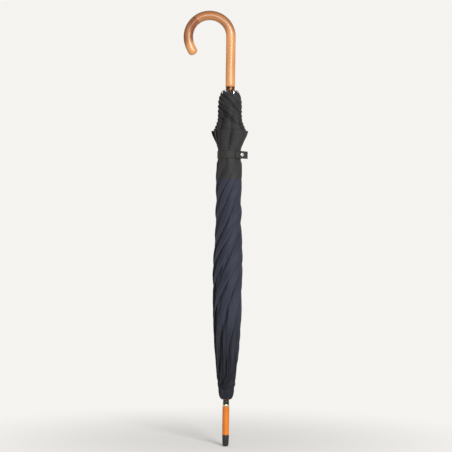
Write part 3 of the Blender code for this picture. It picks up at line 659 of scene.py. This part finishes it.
def billow(u, height):
    """Each flap billows, and dips where the next one's fold lies over it."""
    v = np.abs(2 * u - 1)
    behind = under_next_fold(u, height)
    at_strap = under_strap(height)
    rolled = smooth_step(*ROLLED, height)
    depth = (1.25 + 0.9 * smooth_step(0.606, 0.64, height)) * MM * rolled
    out = depth * (1 - 0.6 * at_strap) * (0.55 - 1.6 * behind**3) * (1 - v) ** 0.35
    gap = (2.2 - 1.0 * smooth_step(0.69, 0.715, height)) * MM * behind**9
    return out - gap * (1 - v) ** 2 * (1 - at_strap) * rolled


def rolled_edge(gore, side, inward, height):
    """The rounded edge along a fold, fuller on the flap that lies outside."""
    roll = smooth_step(0.13, 0.22, height)
    bulge = 1.0 * MM * np.exp(-(((inward - 4 * MM) / (3.2 * MM)) ** 2)) * roll
    under = -0.55 * MM * np.exp(-inward / (1.1 * MM)) * roll
    full = bulge * (0.8 + 0.3 * noise_row(gore, height))
    return under + np.where(side > 0, full, -0.3 * bulge)


def loose_cloth(gore, v, side, distance, height):
    """Above the strap the folds flare out, hang slack and end in the hem's lip."""
    inward = v * half_width(distance)
    flare = (3.0 + 1.4 * noise_row(gore + 11, height)) * MM * np.exp(-inward / (9 * MM))
    slack = 3.4 * MM * (1 - v**6) * smooth_step(0.66, 0.70, height)
    rim = 2.6 * MM * smooth_step(0.69, 0.708, height)
    rim = rim - 2.2 * MM * smooth_step(0.718, 0.7275, height)
    to_hem = hem_distance(v) - distance
    lip = 1.5 * MM * np.exp(-to_hem / (6 * MM)) * np.clip(3 * (1 - v), 0, 1)
    return flare * smooth_step(*LOOSE, height) + slack + rim + np.where(side > 0, lip, 0.4 * lip)


def wrinkles(azimuth, along, height):
    """Ridges along the folds, fine creases, slanting pulls and pleats, calmer at the strap."""
    ridges = wavy(along, height, 2.6, 26, 3.0) * 1.5 * MM
    fine = wavy(along, height, 7.0, 60, 9.0) * 0.55 * MM
    pulls = pulled_folds(azimuth, height) * 1.2 * MM
    pleats = pleat_waves(azimuth, height) * 2.2 * MM * near_ferrule(height)
    calm = 1 - 0.8 * smooth_step(0.56, 0.59, height) * (1 - smooth_step(0.603, 0.625, height))
    low_end = 1 - 0.6 * (1 - smooth_step(0.112, 0.17, height))
    return (ridges + fine + pulls) * calm * low_end + pleats


def nested_waves(azimuth, share, height):
    """Waves that all the hidden layers share, which hold the cloth that can't be seen."""
    hidden = smooth_step(0.12, 0.3, share) * (1 - smooth_step(0.8, 1, share))
    hidden = hidden * (1 - smooth_step(*LOOSE, height))
    return 1.3 * MM * np.sin(12 * azimuth) * hidden * smooth_step(0.13, 0.2, height)


def pleat_waves(azimuth, height):
    return wavy(azimuth, height, 8.0, 7, 21.0)


def pulled_folds(azimuth, height):
    """The slanting folds that the loose cloth is pulled into above the strap."""
    slanted = wavy(azimuth + (height - 0.65) / (24 * MM), 0 * height, 2.4, 1, 5.0)
    return slanted * smooth_step(*PULLED, height)


def under_strap(height):
    return smooth_step(0.577, 0.587, height) * (1 - smooth_step(0.604, 0.613, height))


def near_ferrule(height):
    """Where the cloth is bunched into small upright pleats."""
    return smooth_step(0.10, 0.125, height) * (1 - smooth_step(0.16, 0.28, height))


def under_next_fold(u, height):
    """How near the cloth is to the fold lying over it: 0 just past one fold, 1 under the next."""
    v = np.abs(2 * u - 1)
    side = np.where(u < 0.5, 1.0, -1.0)
    outer = curve_through(BUNDLE, height) * MM
    core = np.minimum(CORE_RADIUS, outer - 1.5 * MM)
    share = (outer - np.sqrt(outer**2 - v * (outer**2 - core**2))) / (outer - core)
    return np.mod(share * (twist(height) + side * RIB_STEP / 2), RIB_STEP) / RIB_STEP


def noise_row(seed, height):
    """A slow variation along one fold, between -1 and 1."""
    return np.sin(height * 31 + seed * 1.7) * 0.6 + np.sin(height * 67 + seed * 2.9) * 0.4


def creases(u, places):
    """How much painted shade each place gets: under the next fold, in pleats and pulls, and bunched.
    """
    height = places[..., 2]
    behind = under_next_fold(u, height)
    v = np.abs(2 * u - 1)
    narrow = 6 - 3 * smooth_step(0.60, 0.62, height)
    fold = behind**narrow * smooth_step(0.10, 0.16, height) * np.clip(2 - 2.2 * v, 0, 1)
    azimuth = np.arctan2(places[..., 1], places[..., 0])
    pleat = np.clip(-2.6 * pleat_waves(azimuth, height), 0, 0.7) * near_ferrule(height)
    bunched = BUNCHED_SHADE * (1 - smooth_step(0.12, 0.30, height))
    pulled = np.clip(-2.4 * pulled_folds(azimuth, height) - 0.15, 0, 0.65)
    return np.clip(fold + pleat + bunched + pulled, 0, 1)


def on_rib(rib, distance):
    """Where the open cloth lies on a rib, in the furled frame's coordinates, with the rib's bow."""
    azimuth = FIRST_RIB_AZIMUTH + rib * RIB_STEP
    bow = RIB_BOW * np.clip(distance - RIVET_DISTANCE, 0, None) ** 2
    over_fork = FORK_RISE * np.exp(-(((distance - RIVET_DISTANCE) / (12 * MM)) ** 2))
    over_tip = TIP_RISE * smooth_step(HEM_AT_RIB - 40 * MM, HEM_AT_RIB - 25 * MM, distance)
    rise = RIB_FACE + over_fork + over_tip + distance * math.sin(RIB_SPLAY)
    radius = PIVOT_RADIUS + rise - bow
    return polar(azimuth + 0 * radius, radius, NOTCH_HEIGHT + distance)


def gore_grid():
    """A gore's cloth coordinates: u across it and the distance from the notch, rows first."""
    half = 78
    q = np.linspace(0, 1, half + 1) ** 1.9
    u = np.concatenate([0.5 - q[::-1] / 2, 0.5 + q[1:] / 2])
    v = np.abs(2 * u - 1)
    hem = hem_distance(v)
    seam = hem - BORDER_WIDTH
    lower, upper = 104, 34
    rows = [CLOTH_START + (seam - CLOTH_START) * n / lower for n in range(lower)]
    rows += [seam + (hem - seam) * n / upper for n in range(upper + 1)]
    distance = np.array(rows)
    return np.broadcast_to(u, distance.shape), distance, lower


def make_gore(gore):
    u, distance, border_row = gore_grid()
    places = furled(gore, u, distance)
    rows, columns = u.shape
    faces = grid_faces(rows, columns)
    body = f"rib_{gore + 1}"
    name = f"canopy_gore_{gore + 1}"
    obj = add_mesh(name, places.reshape(-1, 3), faces, [NAVY, CHARCOAL], body)
    index = np.repeat(np.arange(rows - 1) >= border_row, columns - 1).astype(np.int32)
    obj.data.polygons.foreach_set("material_index", index)

    v = np.abs(2 * u - 1)
    across = (2 * u - 1) * half_width(distance)
    uv_from(obj, np.stack([across, distance], -1).reshape(-1, 2))
    to_hem = hem_distance(v) - distance
    to_seam = (1 - v) * half_width(distance)
    stitch = np.exp(-(((to_hem - 7 * MM) / (1.6 * MM)) ** 2)) + np.exp(-((to_seam / (2 * MM)) ** 2))
    stitch += 0.8 * np.exp(-(((to_hem - BORDER_WIDTH) / (1.6 * MM)) ** 2))
    point_attribute(obj, "stitch", np.clip(stitch, 0, 1))
    # Painted shade in the folds, pleats, pulls and bunched cloth.
    point_attribute(obj, "crease", creases(u, places))
    point_attribute(obj, "share", u)
    point_attribute(obj, "on_a", on_rib(gore, distance), "FLOAT_VECTOR")
    point_attribute(obj, "on_b", on_rib(gore + 1, distance), "FLOAT_VECTOR")
    follow_ribs(obj, f"rib_{(gore + 1) % RIB_COUNT + 1}")
    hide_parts(f"gore_{gore + 1}")
    return obj


# ---- how the cloth follows the frame ----


def opening_share(nodes, links):
    """How open the frame is, from the runner's place: 0 at rest, 1 just before it is fully open."""
    runner = nodes.new("GeometryNodeObjectInfo")
    runner.transform_space = "ORIGINAL"
    runner.inputs["Object"].default_value = frame["bodies"]["runner"]
    parts = nodes.new("ShaderNodeSeparateXYZ")
    links.new(runner.outputs["Location"], parts.inputs[0])
    share = math_node(nodes, links, "MULTIPLY", parts.outputs["Z"], -1.05 / RUNNER_TRAVEL)
    return math_node(nodes, links, "MINIMUM", math_node(nodes, links, "MAXIMUM", share, 0.0), 1.0)


def stored(nodes, name, kind="FLOAT_VECTOR"):
    node = nodes.new("GeometryNodeInputNamedAttribute")
    node.data_type = kind
    node.inputs["Name"].default_value = name
    return next(o for o in node.outputs if o.enabled and o.name == "Attribute")


def between(nodes, links, share, a, b):
    node = nodes.new("ShaderNodeMix")
    node.data_type = "VECTOR"
    links.new(share, node.inputs[0])
    links.new(a, node.inputs[4])
    links.new(b, node.inputs[5])
    return node.outputs[1]


def carried(nodes, links, body, point):
    """A point given in the furled frame, carried with a body, seen from the piece's own body."""
    info = nodes.new("GeometryNodeObjectInfo")
    info.transform_space = "RELATIVE"
    info.inputs["Object"].default_value = frame["bodies"][body]
    move = nodes.new("FunctionNodeTransformPoint")
    links.new(point, move.inputs["Vector"])
    links.new(info.outputs["Transform"], move.inputs["Transform"])
    return move.outputs[0]


def new_group(name):
    group = bpy.data.node_groups.new(name, "GeometryNodeTree")
    group.interface.new_socket("Geometry", in_out="INPUT", socket_type="NodeSocketGeometry")
    group.interface.new_socket("Geometry", in_out="OUTPUT", socket_type="NodeSocketGeometry")
    return group, group.nodes, group.links


def finish_group(obj, group, place, opened=None):
    """Closes a group that moves each vertex to place, and fades the painted crease shade as it opens.
    """
    nodes, links = group.nodes, group.links
    shape = nodes.new("NodeGroupInput").outputs[0]
    leave = nodes.new("NodeGroupOutput")
    setter = nodes.new("GeometryNodeSetPosition")
    # The painted crease shade fades out as the frame opens.
    if opened is not None:
        folded = math_node(nodes, links, "SUBTRACT", 1.0, opened)
        store = nodes.new("GeometryNodeStoreNamedAttribute")
        store.data_type = "FLOAT"
        store.inputs["Name"].default_value = "crease"
        left = math_node(nodes, links, "MULTIPLY", folded, stored(nodes, "crease", "FLOAT"))
        links.new(shape, store.inputs["Geometry"])
        links.new(left, store.inputs["Value"])
        shape = store.outputs[0]
    links.new(shape, setter.inputs["Geometry"])
    links.new(place, setter.inputs["Position"])
    links.new(setter.outputs[0], leave.inputs[0])
    modifier = obj.modifiers.new(group.name, "NODES")
    modifier.node_group = group


def follow_ribs(obj, second_rib):
    """The sheet turns with both of its ribs, and is stretched straight between them when open."""
    group, nodes, links = new_group("stretch_" + obj.name)
    here = nodes.new("GeometryNodeInputPosition").outputs[0]
    across = stored(nodes, "share", "FLOAT")
    furl = between(nodes, links, across, here, carried(nodes, links, second_rib, here))
    far = carried(nodes, links, second_rib, stored(nodes, "on_b"))
    stretched = between(nodes, links, across, stored(nodes, "on_a"), far)
    opened = opening_share(nodes, links)
    finish_group(obj, group, between(nodes, links, opened, furl, stretched), opened)


def settle_at(obj, body, settled):
    """The piece goes to the settled places, carried with a body, as the frame opens."""
    point_attribute(obj, "settled", settled, "FLOAT_VECTOR")
    group, nodes, links = new_group("settle_" + obj.name)
    here = nodes.new("GeometryNodeInputPosition").outputs[0]
    there = carried(nodes, links, body, stored(nodes, "settled"))
    opened = opening_share(nodes, links)
    # Pieces with painted crease shade have it faded as the frame opens.
    has_crease_shade = "crease" in obj.data.attributes
    finish_group(obj, group, between(nodes, links, opened, here, there), opened if has_crease_shade else None)


def bow_with_canopy(obj, rib):
    """A rib and its tip bow towards the handle beyond the rivet as the canopy tightens."""
    group, nodes, links = new_group("bow_" + obj.name)
    here = nodes.new("GeometryNodeInputPosition").outputs[0]
    parts = nodes.new("ShaderNodeSeparateXYZ")
    links.new(here, parts.inputs[0])
    rivet_height = NOTCH_HEIGHT + RIVET_DISTANCE
    beyond = math_node(nodes, links, "SUBTRACT", parts.outputs["Z"], rivet_height)
    beyond = math_node(nodes, links, "MAXIMUM", beyond, 0.0)
    square = math_node(nodes, links, "MULTIPLY", beyond, beyond)
    amount = math_node(nodes, links, "MULTIPLY", square, opening_share(nodes, links))
    azimuth = FIRST_RIB_AZIMUTH + rib * RIB_STEP
    move = nodes.new("ShaderNodeVectorMath")
    move.operation = "SCALE"
    move.inputs[0].default_value = Vector((math.cos(azimuth), math.sin(azimuth), 0)) * -RIB_BOW
    links.new(amount, move.inputs["Scale"])
    total = nodes.new("ShaderNodeVectorMath")
    links.new(here, total.inputs[0])
    links.new(move.outputs[0], total.inputs[1])
    finish_group(obj, group, total.outputs[0])


# ---- the canopy's crown ----


def make_crown():
    """The middle of the canopy, gathered over the notch; the gores' folds run on into it."""
    u, distance, _ = gore_grid()
    edge_u = u[0]
    rows = 12
    cap_radius = 7.0 * MM
    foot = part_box("canopy_top")[0].z
    places, settled, coordinates = [], [], []
    for r in range(rows + 1):
        t = r / rows
        for gore in range(RIB_COUNT):
            rim = furled(gore, edge_u, distance[0])[:-1]
            angle = np.arctan2(rim[:, 1], rim[:, 0])
            reach = np.hypot(rim[:, 0], rim[:, 1])
            grown = cap_radius + (reach - cap_radius) * math.sin(t * math.pi / 2) ** 0.75
            height = foot + (rim[:, 2] - foot) * (1 - math.cos(t * math.pi / 2)) ** 0.9
            places.append(np.stack([grown * np.cos(angle), grown * np.sin(angle), height], -1))
            middle = FIRST_RIB_AZIMUTH + gore * RIB_STEP + edge_u[:-1] * RIB_STEP
            spread = cap_radius + (15.9 * MM - cap_radius) * t + 0 * middle
            settled.append(polar(middle, spread, foot + (110.0 * MM - foot) * t**1.2))
            coordinates += [(a * 0.02, t * 0.02) for a in middle]
    columns = RIB_COUNT * (len(edge_u) - 1)
    verts = np.concatenate(places)
    faces = grid_faces(rows + 1, columns, wrap=True)
    crown = add_mesh("canopy_crown", verts, faces, NAVY, "stick")
    uv_from(crown, coordinates)
    point_attribute(crown, "stitch", np.zeros(len(verts)))
    # The whole crown gets the painted shade of the bunched cloth.
    point_attribute(crown, "crease", np.full(len(verts), BUNCHED_SHADE))
    settle_at(crown, "stick", np.concatenate(settled))
    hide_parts("canopy_top")


# ---- the tie strap ----


def ribbon(name, centres, normals, spans, body):
    """A closed strap along its centreline: normals point out of its face, spans across it."""
    bars = 8
    ring = [(c / bars - 0.5, 0.5) for c in range(bars + 1)]
    ring += [(0.5 - c / bars, -0.5) for c in range(bars + 1)]
    verts, coordinates, stitch = [], [], []
    length = 0.0
    for n, (centre, normal, span) in enumerate(zip(centres, normals, spans)):
        if n:
            length += (centre - centres[n - 1]).length
        for across, up in ring:
            crown = 1 - 0.35 * abs(2 * across) ** 6
            verts.append(centre + span * across * STRAP_WIDTH + normal * up * STRAP_THICKNESS * crown)
            coordinates.append((across * STRAP_WIDTH, length))
            stitch.append(math.exp(-(((abs(across) * STRAP_WIDTH - 5.9 * MM) / (0.9 * MM)) ** 2)))
    columns = len(ring)
    faces = tube_faces(len(centres), columns)
    obj = add_mesh(name, verts, faces, STRAP_CLOTH, body)
    obj.data.flip_normals()
    uv_from(obj, coordinates)
    point_attribute(obj, "stitch", stitch)
    return obj, length, columns


def hung_place(distance, across, out):
    """A place on the strap hanging from the open canopy, with rib 1, a distance below its seam."""
    radial, tangent = first_rib_axes()
    down = radial * math.sin(OPEN_ANGLE) - Vector((0, 0, 1)) * math.cos(OPEN_ANGLE)
    outwards = radial * math.cos(OPEN_ANGLE) + Vector((0, 0, 1)) * math.sin(OPEN_ANGLE)
    seam = STRAP_HEIGHT - NOTCH_HEIGHT
    start = radial * (PIVOT_RADIUS + RIB_FACE + 1 * MM - RIB_BOW * (seam - RIVET_DISTANCE) ** 2)
    start += Vector((0, 0, STRAP_HEIGHT))
    sway = 3 * MM * math.sin(distance * 30)
    return start + down * distance + tangent * across + outwards * (out + sway)


def strap_line():
    """The wrapped strap's centreline: the under end, once round the bundle, to the hinge line."""
    radial, tangent = first_rib_axes()
    up = Vector((0, 0, STRAP_HEIGHT))
    centres, normals = [], []
    for n in range(8):
        beside = tangent * STRAP_UNDER_LENGTH * (1 - n / 8)
        centres.append(radial * (STRAP_RADIUS + 0.1 * MM) + beside + up)
        normals.append(radial)
    steps = 96
    for n in range(steps + 1):
        angle = FIRST_RIB_AZIMUTH - math.tau * n / steps
        out = Vector((math.cos(angle), math.sin(angle), 0))
        over_itself = 2.5 * MM * float(smooth_step(0.86, 1.0, n / steps))
        swell = 0.25 * MM * math.sin(3 * angle + 1) + over_itself
        centres.append(out * (STRAP_RADIUS + swell) + up)
        normals.append(out)
    return centres, normals


def make_strap():
    """The strap's band, once round the bundle; gives how much of it hangs from the seam when open."""
    centres, normals = strap_line()
    up = Vector((0, 0, 1))
    spans = [(up + Vector((0.006 * math.sin(n / 7), 0, 0))).normalized() for n in range(len(centres))]
    band, length, columns = ribbon("strap_band", centres, normals, spans, "rib_1")
    under = STRAP_UNDER_LENGTH
    settled, travelled = [], 0.0
    for n, centre in enumerate(centres):
        if n:
            travelled += (centre - centres[n - 1]).length
        for c in range(columns):
            vert = band.data.vertices[n * columns + c].co
            across = (vert - centre).dot(up)
            out = (vert - centre).dot(normals[n])
            if travelled < under:
                across += STRAP_WIDTH * 0.1
                out += 1.5 * MM
            settled.append(hung_place(abs(travelled - under), across, out))
    settle_at(band, "rib_1", settled)
    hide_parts("tie_strap")
    return length - under


def make_strap_end(hanging_start):
    """The free end with the snap on it, standing off to the side of the bundle."""
    radial, tangent = first_rib_axes()
    low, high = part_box("strap_end")
    middle = Vector((0, 0, (low.z + high.z) / 2))
    base = STRAP_RADIUS + 0.55 * MM + 1.5 * MM + 0.5 * MM
    centres, normals = [], []
    steps = 16
    for n in range(steps + 1):
        t = n / steps
        lift = 0.5 * MM * t * t - 0.3 * MM * (1 - float(smooth_step(0, 0.15, t)))
        droop = Vector((0, 0, -0.7 * MM * t))
        centres.append(radial * (base + lift) + tangent * TAB_LENGTH * t + middle + droop)
        normals.append(radial)
    spans = [Vector((0, 0, 1))] * len(centres)
    end, length, columns = ribbon("strap_tab", centres, normals, spans, "strap_end")
    settled = []
    for n, centre in enumerate(centres):
        for c in range(columns):
            vert = end.data.vertices[n * columns + c].co
            away = hanging_start + TAB_LENGTH * n / steps
            settled.append(hung_place(away, (vert - centre).z, (vert - centre).dot(radial)))
    settle_at(end, "rib_1", settled)
    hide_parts("strap_end")
    make_snap(radial, tangent, middle, base, hanging_start)


def make_snap(radial, tangent, middle, base, hanging_start):
    """A press stud: a domed cap with a dimple on the free end, and its socket on the under end."""
    along = STUD_DISTANCE
    centre = radial * (base + 0.45 * MM) + tangent * along + middle
    basis = Matrix((tangent, Vector((0, 0, 1)), radial)).transposed().to_4x4()
    place = Matrix.Translation(centre) @ basis
    profile = corners(0, (0, 0.85), (0.8, 0.85), (1.3, 1.35), (2.4, 1.45))
    profile += corners(0, (3.4, 1.1), (4.0, 0.5), (4.1, 0), (0, 0))
    finish = (SNAP_METAL, "strap_end", "snap_metal")
    cap = lathe("snap_cap_dome", profile, *finish, ["snap_cap"], 40, place, 0.1 * MM)
    settle_stud(cap, centre, (radial, tangent), hanging_start + along, 0.5 * MM)
    under = radial * (STRAP_RADIUS + 0.6 * MM) + tangent * along + middle
    place = Matrix.Translation(under) @ basis
    profile = corners(0, (1.2, 1.0), (2.4, 1.0), (3.3, 0.4), (3.4, 0), (1.2, 0))
    finish = (SNAP_METAL, "rib_1", "snap_metal")
    socket = lathe("snap_socket_ring", profile, *finish, ["snap_socket"], 32, place, 0.1 * MM)
    settle_stud(socket, under, (radial, tangent), along, 2.1 * MM)


def settle_stud(obj, centre, axes, distance, out):
    """Carries a stud, still round, to its place on the hanging strap."""
    radial, tangent = axes
    settled = []
    for vert in obj.data.vertices:
        offset = vert.co - centre
        along = distance + offset.dot(tangent)
        settled.append(hung_place(along, offset.z, out + offset.dot(radial)))
    settle_at(obj, "rib_1", settled)


# ---- the carried-over metalwork ----


def bending_rib(node, rib):
    """A rib that can bend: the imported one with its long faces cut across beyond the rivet."""
    bm = bmesh.new()
    bm.from_mesh(node.data)
    bmesh.ops.remove_doubles(bm, verts=bm.verts, dist=0.01 * MM)
    cuts = np.linspace(RIVET_DISTANCE + 10 * MM, HEM_AT_RIB - 35 * MM, 22)
    for distance in cuts:
        geometry = [*bm.verts, *bm.edges, *bm.faces]
        middle = (0, 0, NOTCH_HEIGHT + distance)
        bmesh.ops.bisect_plane(bm, geom=geometry, dist=MM / 1000, plane_co=middle, plane_no=(0, 0, 1))
    mesh = bpy.data.meshes.new(f"rib_bar_{rib + 1}")
    bm.to_mesh(mesh)
    bm.free()
    mesh.shade_smooth()
    mesh.set_sharp_from_angle(angle=math.radians(35))
    mesh.materials.append(FRAME_STEEL)
    bar = placed(mesh.name, mesh)
    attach(bar, f"rib_{rib + 1}")
    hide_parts(f"rib_{rib + 1}")
    bow_with_canopy(bar, rib)


def dress_frame():
    """The CAD pieces that stay get their finishes, and the ribs bow with the canopy."""
    finishes = {
        "shaft": SHAFT_WOOD,
        "top_notch": CROWN_PLASTIC,
        "runner_crown": CROWN_PLASTIC,
        "runner_tube": BRIGHT_STEEL,
        "notch_wire": BRIGHT_STEEL,
        "runner_wire": BRIGHT_STEEL,
        "hand_spring": BRIGHT_STEEL,
        "top_spring": BRIGHT_STEEL,
        "rib_rivet": BRIGHT_STEEL,
        "rib_tip": BRIGHT_STEEL,
        "rib": FRAME_STEEL,
        "stretcher": FRAME_STEEL,
    }
    for name, node in frame["nodes"].items():
        match = max((key for key in finishes if name.startswith(key)), key=len, default=None)
        if match is None or node.hide_render:
            continue
        if match == "rib":
            bending_rib(node, int(name.rsplit("_", 1)[1]) - 1)
            continue
        node.data.materials.clear()
        node.data.materials.append(finishes[match])
        if match == "rib_tip":
            bow_with_canopy(node, int(name.rsplit("_", 1)[1]) - 1)


# ---- camera, light and floor ----


def make_camera():
    data = bpy.data.cameras.new("camera")
    data.lens = CAMERA_LENS
    data.sensor_width = 36
    camera = placed("camera", data)
    camera.location = IMAGE_CENTRE + Vector((0, -CAMERA_DISTANCE, 0))
    camera.rotation_euler = (math.pi / 2, -CAMERA_ROLL, 0)
    bpy.context.scene.camera = camera


def make_light(name, place, size, energy, target=(0, 0, 0.45)):
    data = bpy.data.lights.new(name, "AREA")
    data.shape = "DISK"
    data.size = size
    data.energy = energy
    light = placed(name, data)
    light.location = place
    light.rotation_euler = (Vector(target) - Vector(place)).to_track_quat("-Z", "Y").to_euler()


def make_studio():
    """A pale world, a pale floor that fades into it, and a soft light from the right and the front."""
    world = bpy.data.worlds.new("studio")
    world.use_nodes = True
    tree = world.node_tree
    backdrop = tree.nodes["Background"]
    backdrop.inputs["Color"].default_value = (*PALE, 1)
    ambient = tree.nodes.new("ShaderNodeBackground")
    ambient.inputs["Color"].default_value = (*PALE, 1)
    ambient.inputs["Strength"].default_value = 0.5
    seen = tree.nodes.new("ShaderNodeLightPath")
    chosen = tree.nodes.new("ShaderNodeMixShader")
    tree.links.new(seen.outputs["Is Camera Ray"], chosen.inputs[0])
    tree.links.new(ambient.outputs[0], chosen.inputs[1])
    tree.links.new(backdrop.outputs[0], chosen.inputs[2])
    tree.links.new(chosen.outputs[0], tree.nodes["World Output"].inputs[0])
    bpy.context.scene.world = world
    make_light("key", (1.2, -2.8, 1.6), 1.3, 95)
    make_light("front", (-0.1, -3.3, 0.9), 0.9, 32)
    make_floor()


def make_floor():
    """A pale paper floor that takes a soft shadow and fades into the world's colour."""
    rings, sectors = 24, 96
    verts = [(0, 0, 0)]
    for r in range(1, rings + 1):
        radius = 8.0 * (r / rings) ** 2
        for c in range(sectors):
            angle = math.tau * c / sectors
            verts.append((radius * math.cos(angle), radius * math.sin(angle), 0))
    faces = [(0, 1 + c, 1 + (c + 1) % sectors) for c in range(sectors)]
    for r in range(rings - 1):
        a = 1 + r * sectors
        for c in range(sectors):
            d = (c + 1) % sectors
            faces.append((a + c, a + sectors + c, a + sectors + d, a + d))
    mesh = bpy.data.meshes.new("floor")
    mesh.from_pydata(verts, [], faces)
    floor = placed("floor", mesh)
    floor.location.z = -0.4 * MM
    m = Nodes("floor_paper", (0.82, 0.81, 0.79, 1), 0.8)
    m.set(specular_ior_level=0.1)
    glow = m.new("ShaderNodeEmission")
    glow.inputs["Color"].default_value = (*PALE, 1)
    distance = m.new("ShaderNodeVectorMath")
    distance.operation = "LENGTH"
    m.link(m.new("ShaderNodeTexCoord").outputs["Object"], distance.inputs[0])
    blend = m.new("ShaderNodeMixShader")
    m.link(m.spread(distance.outputs["Value"], 0.03, 0.7), blend.inputs[0])
    m.link(m.shader.outputs[0], blend.inputs[1])
    m.link(glow.outputs[0], blend.inputs[2])
    m.link(blend.outputs[0], m.tree.nodes["Material Output"].inputs["Surface"])
    mesh.materials.append(m.material)


# ---- the whole scene ----

bpy.context.scene.view_settings.view_transform = "Standard"
make_camera()
make_studio()
make_crook()
make_collar()
make_ferrule()
for number in range(RIB_COUNT):
    make_gore(number)
make_crown()
make_strap_end(make_strap())
dress_frame()
